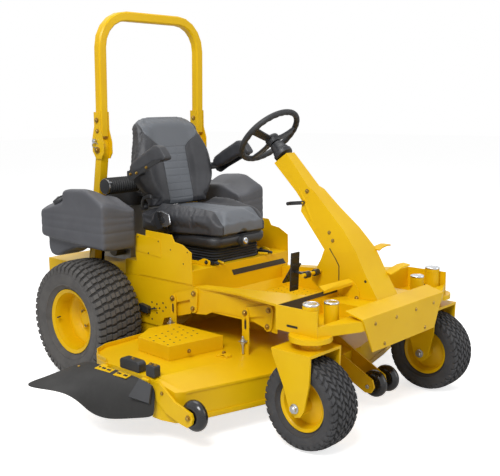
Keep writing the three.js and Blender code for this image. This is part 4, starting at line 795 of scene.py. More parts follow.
def local(point: Vector) -> Vector:
    """Turn the frame's metres back into layout millimetres."""
    return (point - ORIGIN) * 1000


# Wheels


@dataclass
class TurfTyre:
    """A tubeless turf tyre: a rounded carcass with rows of slanted tread blocks."""

    name: str
    body: str
    centre: Point
    radius: float
    width: float
    flange: float
    barrel: float
    rim_half: float
    pitches: int
    rows: int
    slant: float
    zigzag: bool
    block: float = 8.0
    gap: float = 0.12
    long: float = 0.72
    lug: float = 0.095
    finish: Finish = TYRE

    def crown(self, share: float) -> float:
        """Radius of the tread at a share of half the width."""
        return self.radius * (1 - 0.085 * min(1.0, abs(share)) ** 3.2)

    def carcass(self) -> bpy.types.Mesh:
        """Body of the tyre under the tread blocks, with beads and sidewall ribs."""
        w = self.width / 2
        tall = self.radius - self.flange
        bead = self.rim_half
        side = [(self.barrel + 1, bead - 8), (self.flange + 3, bead - 7), (self.flange + 4, bead - 1),
                (self.flange + 9, bead + 3), (self.flange + 0.16 * tall, w * 0.91), (self.flange + 0.17 * tall, w * 0.935),
                (self.flange + 0.20 * tall, w * 0.935), (self.flange + 0.21 * tall, w * 0.93),
                (self.flange + 0.3 * tall, w * 0.97), (self.flange + 0.45 * tall, w * 0.992),
                (self.flange + 0.56 * tall, w * 0.996), (self.flange + 0.57 * tall, w * 0.982),
                (self.radius * 0.86, w * 0.968), (self.crown(0.95) - self.block, w * 0.942)]
        tread = [(self.crown(s) - self.block, w * s) for s in (0.8, 0.65, 0.5, 0.25, 0.0)]
        right = side + tread
        form = Form()
        form.lathe(right + [(a, -b) for a, b in right[-2::-1]], self.centre, (1, 0, 0), 120)
        mesh = finished(form.mesh(self.name + " carcass"), self.finish)
        mesh.materials.append(TYRE_DEEP.make())
        middle = world(self.centre)
        for face in mesh.polygons:
            gone = face.center - middle
            inside = abs(gone.x) < w * 0.00097 and math.hypot(gone.y, gone.z) > self.radius * 0.00087
            face.material_index = 1 if inside else 0
        return mesh

    def stripe(self, form: Form, low: float, high: float, start: float, long: float) -> None:
        """One raised block between two lateral shares, its ends slanted, from start on for a share of the pitch."""
        w = self.width / 2
        step = 2 * math.pi / self.pitches
        points: list[Point] = []
        for level in (0, 1):
            draw = 0.012 * level
            for s, t in ((low + draw, 0.0), (high - draw, self.slant), (high - draw, self.slant + long), (low + draw, long)):
                t += start + (0.03 * level if t in (0.0, self.slant) else -0.03 * level)
                radius = self.crown(s) - (self.block * 1.2 if level == 0 else 0)
                points.append((s * w * (0.99 if level else 1.0), radius * math.sin(t * step), radius * math.cos(t * step)))
        form.faces(points, [(4, 5, 6, 7), (0, 1, 5, 4), (1, 2, 6, 5), (2, 3, 7, 6), (3, 0, 4, 7)])

    def tread(self) -> bpy.types.Mesh:
        """Blocks of one pitch, repeated round the tyre."""
        form = Form()
        w = self.width / 2
        cell = 2.0 / self.rows
        slant = self.slant
        starts: list[float] = []
        for row in range(self.rows):
            low = -1 + cell * row
            if self.zigzag:
                self.slant = slant * (-1 if row % 2 else 1)
                start = (row % 2) * (0.5 + slant)
            else:
                start = row * slant / (1 - 2 * self.gap) + (row % 2) * 0.12
            starts.append(start + (self.slant if row else 0.0))
            self.stripe(form, low + cell * self.gap, low + cell * (1 - self.gap), start, self.long)
        self.slant = slant
        step = 2 * math.pi / self.pitches
        for side, first in ((-1, starts[0]), (1, starts[-1])):
            points: list[Point] = []
            for share, drop in ((0.98, 0.0), (1.0, 0.05), (0.99, self.lug)):
                for t in (first, first + self.long):
                    radius = self.crown(1.0) - drop * self.radius
                    for depth in (0.0, 0.06):
                        points.append((side * w * (share - depth), radius * math.sin(t * step), radius * math.cos(t * step)))
            form.faces(points, [(0, 2, 6, 4), (4, 6, 10, 8), (0, 4, 5, 1), (4, 8, 9, 5), (2, 3, 7, 6), (6, 7, 11, 10),
                                (8, 10, 11, 9)])
        host = bpy.data.meshes.new(self.name + " hub point")
        host.from_pydata([(0, 0, 0)], [], [])
        piece = template(self.name + " pitch", form)
        return run_tree(host, radial_tree(), {"Piece": piece, "Count": self.pitches, "Centre": world(self.centre),
                                              "Turn": (1.0, 0.0, 0.0), "Finish": self.finish.make()})

    def build(self, node: str) -> None:
        """Make the tyre and stand it in for its solid."""
        mesh = joined([self.carcass(), self.tread()], self.name)
        dress(self.name, mesh, [], self.body, [node], angle=35)


@dataclass
class PressedRim:
    """A pressed steel rim with rolled flanges, a dished disc, its nuts and a valve."""

    name: str
    body: str
    centre: Point
    outward: int
    flange: float
    barrel: float
    half: float
    disc: Sequence[tuple[float, float]]
    nuts: int = 0
    nut_circle: float = 0.0
    nut_depth: float = 0.0
    nut_size: float = 0.0

    def build(self, node: str) -> None:
        """Make the rim and stand it in for its solid."""
        f, b, h, out = self.flange, self.barrel, self.half, self.outward
        lip = [(b + 0.5, h - 14), (b + 1, h - 9), (f - 6, h - 6), (f - 1.5, h - 4.5), (f, h - 2), (f - 1, h),
               (f - 4, h + 0.0), (f - 9, h - 3), (b - 3, h - 8), (b - 4, h - 15), (b - 9, h - 24), (b - 10, h - 40)]
        outer = [(r, out * x) for r, x in lip]
        inner = [(r, -out * x) for r, x in lip]
        form = Form()
        shell = outer + [(b - 11, out * h * 0.2), (b - 11, -out * h * 0.2)] + inner[::-1] + [
            (b - 1, -out * h * 0.3), (b - 1, out * h * 0.3)]
        form.lathe(shell, self.centre, (1, 0, 0), 96)
        form.lathe([(r, out * x) for r, x in self.disc], self.centre, (1, 0, 0), 72, closed=False)
        parts = [finished(form.mesh(self.name + " steel"), YELLOW)]
        if self.nuts:
            host = bpy.data.meshes.new(self.name + " hub point")
            host.from_pydata([(0, 0, 0)], [], [])
            nut = Form()
            tip = self.nut_size
            hexagon = [(tip * math.sin(math.radians(60 * k)), self.nut_circle + tip * math.cos(math.radians(60 * k)))
                       for k in range(6)]
            low, high = sorted((out * self.nut_depth, out * (self.nut_depth + tip * 1.1)))
            nut.prism("x", hexagon, low, high)
            nut.rod((low, 0, self.nut_circle), (high + out * tip * 0.4, 0, self.nut_circle), tip * 0.55, 12)
            piece = template(self.name + " nut", nut)
            parts.append(run_tree(host, radial_tree(), {"Piece": piece, "Count": self.nuts, "Centre": world(self.centre),
                                                        "Turn": (1.0, 0.0, 0.0), "Finish": ZINC.make()}))
        stem = Form()
        x, y, z = self.centre
        reach = out * (h - 26)
        stem.rod((x + reach, y + b - 24, z), (x + reach + out * 22, y + b - 30, z), 4.0, 10)
        parts.append(finished(stem.mesh(self.name + " valve"), RUBBER))
        mesh = joined(parts, self.name)
        dress(self.name, mesh, [], self.body, [node], angle=30)


@dataclass
class Roller:
    """Barrel-shaped nylon rollers that keep the deck off the turf, on one pin."""

    name: str
    body: str
    middles: Sequence[Point]
    radius: float
    half: float = 25.0
    pin: Optional[tuple[Point, Point]] = None

    def build(self, node: str) -> None:
        """Make the rollers and stand them in for their solid."""
        form = Form()
        for middle in self.middles:
            steps = [k / 10 for k in range(-10, 11)]
            crown = [(self.radius - 17 * abs(t) ** 2.4, t * self.half) for t in steps]
            rim = [(self.radius * 0.52, self.half), (self.radius * 0.5, self.half - 5), (15, self.half - 5),
                   (15, self.half), (9.5, self.half)]
            profile = crown + rim + [(a, -b) for a, b in rim[::-1]]
            form.lathe(profile, middle, (1, 0, 0), 48)
        parts = [finished(form.mesh(self.name + " nylon"), GLOSS_BLACK)]
        if self.pin:
            bar = Form()
            bar.rod(self.pin[0], self.pin[1], 9.0, 20, 1.0)
            parts.append(finished(bar.mesh(self.name + " pin"), ZINC))
        dress(self.name, joined(parts, self.name), [], self.body, [node], angle=35)


def build_wheels() -> None:
    """Rear wheels, caster wheels and the deck's rollers."""
    for name, side in (("right", -1), ("left", 1)):
        body = f"rear_wheel_{name}"
        centre = (side * 537.5, 0.0, 311.0)
        TurfTyre(f"rear_turf_tyre_{name}", body, centre, 311, 263, 168, 152, 105, 50, 9, 0.13, False, 10, 0.06, 0.66).build(
            f"rear_tyre_{name}")
        disc = [(0, 2), (0, 14), (34, 14), (38, 8), (40, -16), (44, -22), (84, -24), (96, -20), (118, 6), (132, 12),
                (146, 12), (146, 7), (134, 7), (122, 1), (98, -26), (84, -30), (30, -30)]
        PressedRim(f"rear_rim_steel_{name}", body, centre, side, 168, 152, 105, disc, 5, 64, -23, 10).build(f"rear_rim_{name}")
        body = f"caster_wheel_{name}"
        centre = (side * 481.0, -1433.0, 193.0)
        TurfTyre(f"caster_turf_tyre_{name}", body, centre, 193, 168, 112, 101, 60, 34, 8, 0.42, True, 8, 0.14, 0.64,
                 0.095, CASTER_TYRE).build(
            f"caster_tyre_{name}")
        disc = [(13, 93), (30, 93), (32, 90), (32, 30), (40, 24), (80, 16), (99, 14), (99, 9), (80, 10), (36, 16), (13, 24)]
        both = disc + [(r, -x) for r, x in disc[::-1]]
        PressedRim(f"caster_rim_steel_{name}", body, centre, side, 112, 101, 60, both).build(f"caster_rim_{name}")
        Roller(f"corner_roller_{name}", f"gauge_wheel_{name}", [(side * 850.0, -1133.0, 165.0)], 65).build(
            f"antiscalp_wheel_{name}")
    Roller("nose_rollers", "gauge_wheels_front", [(40.0, -1400.0, 124.0), (140.0, -1400.0, 124.0)], 63, 25,
           ((-25.5, -1400.0, 124.0), (139.5, -1400.0, 124.0))).build("antiscalp_wheels_front")


# Seat


@dataclass
class Cushion:
    """A padded form laid out along a length v from 0 to 1 and a width u from -1 to 1."""

    name: str
    node: str
    body: str
    long: float
    fill: float = 0.7
    voxel: float = 6.0
    swell: float = 9.0
    shrink: float = 4.0

    def half(self, v: float) -> float:
        """Half width at v."""
        raise NotImplementedError

    def front(self, u: float, v: float) -> float:
        """Height of the face."""
        raise NotImplementedError

    def back(self, u: float, v: float) -> float:
        """Height of the back."""
        return 0.0

    def place(self, x: float, along: float, height: float) -> Vector:
        """Layout point of a width, length and height."""
        raise NotImplementedError

    def read(self, point: Vector) -> tuple[float, float, float]:
        """Width, length and height of a layout point."""
        raise NotImplementedError

    def panel(self, x: float, v: float, height: float) -> float:
        """Distance in millimetres into the light sewn panel."""
        raise NotImplementedError

    def press(self, x: float, v: float, height: float) -> float:
        """Depth of sewn channels at a place of the face."""
        return 0.0

    def dent(self, point: Vector) -> Vector:
        """Change a layout point after the padding is made."""
        return point

    def shell(self) -> bpy.types.Mesh:
        """Closed starting form, a little smaller than the finished pad."""
        form = Form()
        across, down = 28, 40
        points: list[Vector] = []
        for j in range(down + 1):
            v = j / down
            reach = self.half(v) - self.shrink
            along = self.shrink + v * (self.long - 2 * self.shrink)
            for i in range(across + 1):
                u = -1 + 2 * i / across
                edge = 1 - 0.06 * abs(u) ** 6
                points.append(self.place(u * reach, along, (self.front(u, v) - self.shrink) * edge))
            for i in range(across, -1, -1):
                u = -1 + 2 * i / across
                points.append(self.place(u * reach, along, self.back(u, v) + self.shrink))
        ring = 2 * (across + 1)
        polygons: list[Sequence[int]] = []
        for j in range(down):
            a, b = j * ring, (j + 1) * ring
            polygons.extend((a + k, a + (k + 1) % ring, b + (k + 1) % ring, b + k) for k in range(ring))
        for base in (0, down * ring):
            polygons.extend((base + i, base + i + 1, base + ring - 2 - i, base + ring - 1 - i) for i in range(across))
        form.faces(points, polygons)
        return form.mesh(self.name + " shell")

    def build(self) -> bpy.types.Object:
        """Pad, sew and dress the form."""
        mesh = remeshed(self.shell(), self.voxel, 6)
        mesh = subdivided(inflated(mesh, 4.0, self.swell))
        mark = mesh.attributes.new("panel", "FLOAT", "POINT")
        normals = [Vector(n.vector) for n in mesh.vertex_normals]
        for i, vert in enumerate(mesh.vertices):
            spot = local(vert.co)
            x, along, height = self.read(spot)
            v = along / self.long
            inside = self.panel(x, v, height)
            mark.data[i].value = inside
            deep = 3.0 * math.exp(-(inside / 4.0) ** 2)
            if inside > 0:
                deep += self.press(x, v, height)
            vert.co = world(self.dent(spot - normals[i] * deep))
        piece = dress(self.name, mesh, [VINYL], self.body, [self.node], angle=180)
        return piece


@dataclass
class SeatCushion(Cushion):
    """Seat cushion: bolsters at the sides, a light panel that wraps over the rounded nose."""

    front_y: float = -640.0
    bottom: float = 748.0
    height: float = 121.0

    def half(self, v: float) -> float:
        """Half width, drawn in at the nose."""
        return 190 + 60 * smooth(v / 0.75) - (26 * (1 - v / 0.1) ** 1.6 if v < 0.1 else 0)

    def front(self, u: float, v: float) -> float:
        """Crowned top with raised bolsters and a falling nose."""
        a = abs(u)
        rim = 0.0 if a < 0.5 else smooth((a - 0.5) / 0.32) if a < 0.82 else 1 - 0.45 * smooth((a - 0.82) / 0.18)
        fall = (1 - smooth(v / 0.14)) * 50 if v < 0.14 else 0.0
        rise = rim * 40 * (0.25 + 0.75 * smooth(v / 0.6))
        rear = rise * smooth((v - 0.76) / 0.12)
        return self.height - 18 + 16 * (1 - u * u) - fall + rise - rear

    def place(self, x: float, along: float, height: float) -> Vector:
        """Layout point."""
        return Vector((x, self.front_y + along, self.bottom + height))

    def read(self, point: Vector) -> tuple[float, float, float]:
        """Width, length and height."""
        return point.x, point.y - self.front_y, point.z - self.bottom

    def panel(self, x: float, v: float, height: float) -> float:
        """Light panel: broad at the nose, narrower between the bolsters."""
        reach = 116 + 30 * (1 - smooth((v - 0.02) / 0.36))
        return min(reach - abs(x), height - 10)

    def press(self, x: float, v: float, height: float) -> float:
        """Shallow channels across the seat behind the nose."""
        if v < 0.3 or v > 0.9:
            return 0.0
        place = ((v * self.long) / 60.0) % 1.0
        return 2.5 * math.exp(-(min(place, 1 - place) * 60 / 4.0) ** 2)

    def dent(self, point: Vector) -> Vector:
        """Press the arch over the ride knob into the nose and its groove into the underside."""
        away = math.hypot(point.x, point.z - 742)
        if point.y < -600 and away < 38:
            point = point + Vector((0, 12 * smooth((38 - away) / 12), 0))
        low = 751 - 20 * smooth((abs(point.x) - 36) / 14)
        return Vector((point.x, point.y, max(point.z, low)))


@dataclass
class BackCushion(Cushion):
    """Backrest: shoulders, side bolsters and a light panel with a waist and sewn channels."""

    lean: float = math.radians(12.9)
    start: Point = (0.0, -97.7, 849.3)
    deep: float = 92.0

    def half(self, v: float) -> float:
        """Half width with belly, taper and round shoulders."""
        wide = 205 + 70 * smooth(v / 0.35) - 50 * smooth((v - 0.45) / 0.45)
        return wide - (62 * ((v - 0.85) / 0.15) ** 2.2 if v > 0.85 else 0)

    def front(self, u: float, v: float) -> float:
        """Face with wings that fade to the head."""
        a = abs(u)
        rim = 0.0 if a < 0.5 else smooth((a - 0.5) / 0.32) if a < 0.82 else 1 - 0.45 * smooth((a - 0.82) / 0.18)
        wing = rim * 40 * (0.3 + 0.7 * smooth(v / 0.25)) * (1 - smooth((v - 0.55) / 0.4))
        nose = 34 * smooth((v - 0.86) / 0.14)
        return self.deep - 20 + 10 * (1 - u * u) + wing - nose

    def back(self, u: float, v: float) -> float:
        """Curved back shell."""
        return 14 * u * u + 16 * smooth((v - 0.88) / 0.12)

    def place(self, x: float, along: float, height: float) -> Vector:
        """Layout point on the leaning backrest."""
        up = Vector((0, math.sin(self.lean), math.cos(self.lean)))
        out = Vector((0, -math.cos(self.lean), math.sin(self.lean)))
        return Vector((x, self.start[1], self.start[2])) + up * along + out * height

    def read(self, point: Vector) -> tuple[float, float, float]:
        """Width, length and height."""
        gone = point - Vector(self.start)
        return (point.x, gone.y * math.sin(self.lean) + gone.z * math.cos(self.lean),
                gone.z * math.sin(self.lean) - gone.y * math.cos(self.lean))

    def panel(self, x: float, v: float, height: float) -> float:
        """Light panel: a waist at armrest height and broad shoulders."""
        reach = 88 + 106 * smooth((v - 0.60) / 0.2)
        return min(reach - abs(x), height - 30)

    def press(self, x: float, v: float, height: float) -> float:
        """Channels across the lower face and a seam down its middle."""
        if v > 0.66 or v < 0.05:
            return 0.0
        place = ((v * self.long) / 40.0) % 1.0
        across = 1.7 * math.exp(-(min(place, 1 - place) * 40 / 4.0) ** 2)
        return max(across, 1.4 * math.exp(-((x - 14) / 3.5) ** 2))


@dataclass
class Armrest:
    """A padded armrest on its pressed bracket, which turns on a round boss."""

    name: str
    side: int
    body: str
    x: float = 304.0
    width: float = 54.0
    pivot: tuple[float, float] = (-140.0, 1062.0)
    reach: float = 300.0
    rise: float = 190.0
    pad_shares: Sequence[tuple[float, float]] = (
        (-0.05, 0.14), (0.0, 0.27), (0.2, 0.46), (0.58, 0.765), (0.66, 0.775), (0.75, 0.73), (0.89, 0.5), (0.895, 0.43),
        (0.86, 0.39), (0.6, 0.29), (0.233, 0.04), (0.06, -0.04), (-0.03, 0.02))
    bracket_shares: Sequence[tuple[float, float]] = (
        (-0.1, -0.16), (-0.1, 0.06), (0.04, 0.02), (0.25, 0.12), (0.6, 0.36), (0.7, 0.4), (0.8, 0.38), (0.78, 0.34),
        (0.6, 0.23), (0.233, -0.04), (0.033, -0.22))

    def build(self) -> None:
        """Make pad, bracket, boss and bolts."""
        y, z = self.pivot
        s = self.side
        form = Form()
        form.prism("x", spread(self.pad_shares, y, -self.reach, z, self.rise), s * self.x - 24, s * self.x + 24)
        mesh = subdivided(inflated(remeshed(form.mesh(self.name + " foam"), 5.0, 6), 3.0, 4.0))
        mark = mesh.attributes.new("panel", "FLOAT", "POINT")
        for i, vert in enumerate(mesh.vertices):
            mark.data[i].value = -40.0
            seam = abs(abs(local(vert.co).x - s * self.x) - 19)
            if seam < 4:
                vert.co -= Vector(mesh.vertex_normals[i].vector) * 0.0012 * (1 - seam / 4)
        pad = dress(self.name, mesh, [VINYL], self.body, [f"armrest_{'right' if s < 0 else 'left'}"], angle=180)
        metal = Form()
        outer = s * (self.x + 21)
        low, high = sorted((outer, outer + s * 5))
        metal.prism("x", rounded(spread(self.bracket_shares, y, -self.reach, z, self.rise), 12), low, high)
        low, high = sorted((s * (self.x - 62), outer + s * 2))
        metal.rod((low, y, z), (high, y, z), 19.6, 28, 1.5)
        dress(self.name + "_bracket", metal.mesh(self.name + " bracket"), [BLACK_COAT], self.body,
              bevel=0.8)
        bolts = Fasteners(self.name + "_bolts", self.body, "zinc_steel")
        for a, b in ((0.0, -0.04), (0.16, 0.0), (0.42, 0.17)):
            bolts.put((outer + s * 5, y - a * self.reach, z + b * self.rise), (s, 0, 0), 12)
        bolts.build()


@dataclass
class SeatBase:
    """Pan under the cushion, bellows, slide rails, knob, buckle and recline lever."""

    half: float = 200.0
    front: float = -616.0
    rear: float = -118.0

    @staticmethod
    def loft(levels: Sequence[tuple[float, float]], half: float, front: float, rear: float, radius: float) -> Form:
        """Rounded box through (height, inset) levels."""
        form = Form()
        middle = (front + rear) / 2
        points: list[Point] = []
        count = 0
        for z, inset in levels:
            ring = round_section(2 * (half - inset), rear - front - 2 * inset, radius - inset * 0.5, 8)
            count = len(ring)
            points.extend((a, middle + b, z) for a, b in ring)
        polygons: list[Sequence[int]] = [tuple(range(count))[::-1]]
        for k in range(len(levels) - 1):
            a, b = k * count, (k + 1) * count
            polygons.extend((a + i, a + (i + 1) % count, b + (i + 1) % count, b + i) for i in range(count))
        polygons.append(tuple(range((len(levels) - 1) * count, len(levels) * count)))
        form.faces(points, polygons)
        return form

    def pan(self) -> None:
        """Moulded pan that carries the cushion."""
        levels = [(690.0, 22.0), (692.0, 14.0), (700.0, 5.0), (712.0, 0.0), (736.0, 0.0), (741.0, 3.0), (742.5, 8.0),
                  (747.6, 8.0)]
        dress("seat_pan_moulding", self.loft(levels, self.half, self.front, self.rear, 62).mesh("seat pan"), [BLACK], "seat",
              ["seat_base"], angle=50)

    def bellows(self) -> None:
        """Pleated rubber boot round the suspension."""
        levels = [(612.4, 6.0), (616.0, 0.0)]
        for k in range(5):
            z = 618 + 14 * k
            levels += [(z + 3, 0.0), (z + 9, 9.0), (z + 13, 1.5)]
        levels.append((689.4, 6.0))
        boot = dress("suspension_bellows", self.loft(levels, 176, -587, -183, 46).mesh("bellows"), [RUBBER], "seat_carrier",
                     ["seat_suspension"], angle=70)
        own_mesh(boot)

    def rails(self) -> None:
        """Yellow slide plates and black rails on the seat box."""
        form = Form()
        for s in (-1, 1):
            low, high = sorted((s * 184, s * 226))
            form.block((low, -600, 612.6), (high, -170, 617.6))
            low, high = sorted((s * 221, s * 226))
            form.prism("x", rounded([(-604, 617), (-604, 640), (-560, 648), (-520, 630), (-250, 630), (-200, 645), (-170, 617)],
                                    8), low, high)
        dress("seat_slide_plates", form.mesh("slide plates"), [YELLOW], "chassis", bevel=1.0)
        rail = Form()
        for s in (-1, 1):
            low, high = sorted((s * 190, s * 214))
            rail.block((low, -612, 618), (high, -190, 634))
            rail.rod((s * 202, -640, 626), (s * 202, -612, 626), 7, 16, 1)
        dress("seat_slide_rails", rail.mesh("slide rails"), [BLACK_COAT], "chassis", bevel=1.2)
        tips = Form()
        for s in (-1, 1):
            tips.rod((s * 150, -590, 625), (s * 168, -640, 625), 6, 16, 2)
        dress("slide_release_tips", tips.mesh("release tips"), [YELLOW], "chassis")
        bolts = Fasteners("seat_slide_bolts", "chassis", "zinc_steel", BLACK_COAT)
        for s in (-1, 1):
            for y in (-580, -400, -215):
                bolts.put((s * 226, y, 630), (s, 0, 0), 15)
            bolts.put((s * 205, -560, 634), (0, 0, 1), 14)
        bolts.build()

    def knob(self) -> None:
        """Ride knob: a ribbed black grip with a metal face."""
        grip = Form()
        middle = (0.0, -612.5, 716.0)
        grip.lathe([(0, 0), (30, 0), (30, 9), (28, 12), (28, 24), (24, 27), (20, 27), (19, 23), (0, 23)], middle, (0, -1, 0), 60,
                   closed=False)
        grip.shift(lambda p: p if math.hypot(p.x, p.z - 716) < 26 else Vector(
            (p.x * (1 - 0.035 * (round(math.atan2(p.x, p.z - 716) / math.tau * 60) % 3 == 0)), p.y,
             716 + (p.z - 716) * (1 - 0.035 * (round(math.atan2(p.x, p.z - 716) / math.tau * 60) % 3 == 0)))))
        face = Form()
        face.lathe([(0, 22.8), (18.6, 22.8), (17, 26), (9, 27.5), (6, 25.5), (0, 25.5)], middle, (0, -1, 0), 40, closed=False)
        parts = [finished(grip.mesh("ride grip"), BLACK), finished(face.mesh("ride face"), CHROME)]
        dress("ride_weight_grip", joined(parts, "ride_weight_grip"), [], "ride_knob", ["weight_knob"])

    def belt(self) -> None:
        """Lap belt buckle on its stalk, with the steel tongue in it."""
        stalk = Form()
        stalk.sweep([(-196, -330, 728), (-226, -330, 730), (-252, -326, 748), (-264, -320, 790)], round_section(34, 5, 2), (0, 1, 0))
        stalk.sweep([(196, -330, 728), (226, -330, 730), (252, -326, 748), (264, -320, 790)], round_section(34, 5, 2), (0, 1, 0))
        dress("belt_stalks", stalk.mesh("belt stalks"), [BLACK_COAT], "seat", bevel=0.6)
        case = Form()
        for s in (-1, 1):
            case.prism("x", rounded([(-372, 800), (-300, 772), (-262, 812), (-268, 858), (-300, 874), (-352, 862)], 16),
                       *sorted((s * 262, s * 292)))
        dress("belt_buckle_cases", case.mesh("buckle cases"), [BLACK], "seat", bevel=4, segments=3)
        tongue = Form()
        tongue.prism("x", rounded([(-399, 812), (-388, 860), (-326, 874), (-308, 836), (-332, 794), (-372, 796)], 6), -297.4, -292)
        tongue.prism("x", rounded([(-330, 868), (-318, 832), (-300, 838), (-304, 872)], 4), -296, -292.5)
        press = Form()
        press.prism("x", rounded([(-362, 820), (-356, 842), (-336, 848), (-332, 828), (-346, 814)], 4), -298.6, -296.8)
        dress("belt_release_button", press.mesh("release button"), [BLACK], "seat", bevel=0.6)
        dress("belt_tongue", tongue.mesh("belt tongue"), [CHROME], "seat", bevel=0.8)

    def lever(self) -> None:
        """Recline lever at the backrest's right hinge."""
        form = Form()
        form.rod((-206, -112, 872), (-236, -112, 872), 17, 24, 2)
        form.sweep([(-232, -112, 872), (-244, -124, 896), (-252, -146, 922), (-258, -182, 934), (-262, -214, 938)],
                   round_section(11, 20, 5), (1, 0, 0))
        dress("recline_lever", form.mesh("recline lever"), [BLACK], "backrest", bevel=1.0)

    def build(self) -> None:
        """Build all of it."""
        self.pan()
        self.bellows()
        self.rails()
        self.knob()
        self.belt()
        self.lever()


def build_seat() -> None:
    """Cushions, armrests and the base below."""
    SeatCushion("seat_cushion_pad", "seat_cushion", "seat", 542.0).build()
    BackCushion("backrest_pad", "seat_backrest", "backrest", 510.0).build()
    for name, side in (("right", -1), ("left", 1)):
        Armrest(f"armrest_pad_{name}", side, f"arm_{name}").build()
    SeatBase().build()


# Steering


@dataclass
class SteeringWheel:
    """Steering wheel with a finger-grip rim, three ribbed spokes, hub and shaft."""

    centre: Point = (0.0, -804.0, 1250.0)
    tilt: float = math.radians(45.6)
    radius: float = 175.0
    grip: float = 16.0
    shaft: float = 260.0
    spokes: Sequence[float] = (90.0, -16.0, 196.0)

    def stand(self, point: Vector) -> Vector:
        """Layout point of a point about the steering axis."""
        x0, y0, z0 = self.centre
        s, c = math.sin(self.tilt), math.cos(self.tilt)
        return Vector((x0 + point.x, y0 + point.y * c + point.z * s, z0 - point.y * s + point.z * c))

    def rim(self) -> Form:
        """Rim whose underside is waved for the fingers."""
        form = Form()
        middle = self.radius - self.grip
        section = [(middle + (self.grip - 1.5) * math.cos(math.tau * k / 14), (self.grip - 1.5) * math.sin(math.tau * k / 14))
                   for k in range(14)]
        form.lathe(section, (0, 0, 0), (0, 0, 1), 168)

        def wave(point: Vector) -> Vector:
            """Swell towards the inside and the underside in steps of a finger."""
            turn = math.atan2(point.y, point.x)
            out = Vector((point.x, point.y, 0)).length - middle
            lobe = math.cos(28 * turn)
            share = max(0.0, -out / self.grip) + max(0.0, -point.z / self.grip)
            shrink = 1 - 0.012 * lobe * share * self.grip / middle
            return Vector((point.x * shrink, point.y * shrink, point.z - 1.2 * lobe * max(0.0, -point.z / self.grip)))
        form.shift(wave)
        return form

    def hub(self) -> Form:
        """Hub, cap and spokes."""
        form = Form()
        form.lathe([(0, -8), (20, -8), (26, -10), (33, -14), (36, -20), (36, -36), (30, -52), (0, -52)], (0, 0, 0), (0, 0, 1), 56,
                   closed=False)
        form.lathe([(0, -8.2), (17, -8.2), (18, -6), (15, -4), (0, -3.2)], (0, 0, 0), (0, 0, 1), 40, closed=False)
        reach = self.radius - self.grip
        for turn in self.spokes:
            spin = Matrix.Rotation(math.radians(turn), 3, "Z")
            side = tuple(spin @ Vector((0, 1, 0)))
            for offset in (-10.0, 10.0):
                path = [spin @ Vector((r, offset * (1 + r / reach * 0.4), z)) for r, z in
                        ((24, -28), (55, -26), (95, -18), (130, -8), (reach - 4, -3))]
                form.sweep(path, round_section(14, 13, 5.5), side)
            web = [spin @ Vector((r, 0, z)) for r, z in ((24, -30), (60, -28), (100, -20), (reach - 8, -6))]
            form.sweep(web, round_section(24, 5, 1.5), side)
        form.rod((0, 0, -self.shaft), (0, 0, -40), 13, 28)
        return form

    def build(self) -> None:
        """Wheel on its shaft, and the collar that the shaft enters."""
        rim, hub = self.rim(), self.hub()
        rim.shift(self.stand)
        hub.shift(self.stand)
        parts = [finished(rim.mesh("rim"), RUBBER), finished(hub.mesh("hub"), BLACK)]
        dress("steering_wheel_moulding", joined(parts, "steering_wheel_moulding"), [], "steering",
              ["steering_wheel"], angle=40)
        collar = Form()
        collar.lathe([(15, -132), (45, -132), (47, -126), (47, -114), (44, -110), (41, -108), (41, -98), (37, -92), (34, -76),
                      (31, -60), (15, -58)], (0, 0, 0), (0, 0, 1), 56)
        collar.shift(self.stand)
        dress("steering_shaft_collar", collar.mesh("collar"), [BLACK], body_of("column_cover"), angle=35)


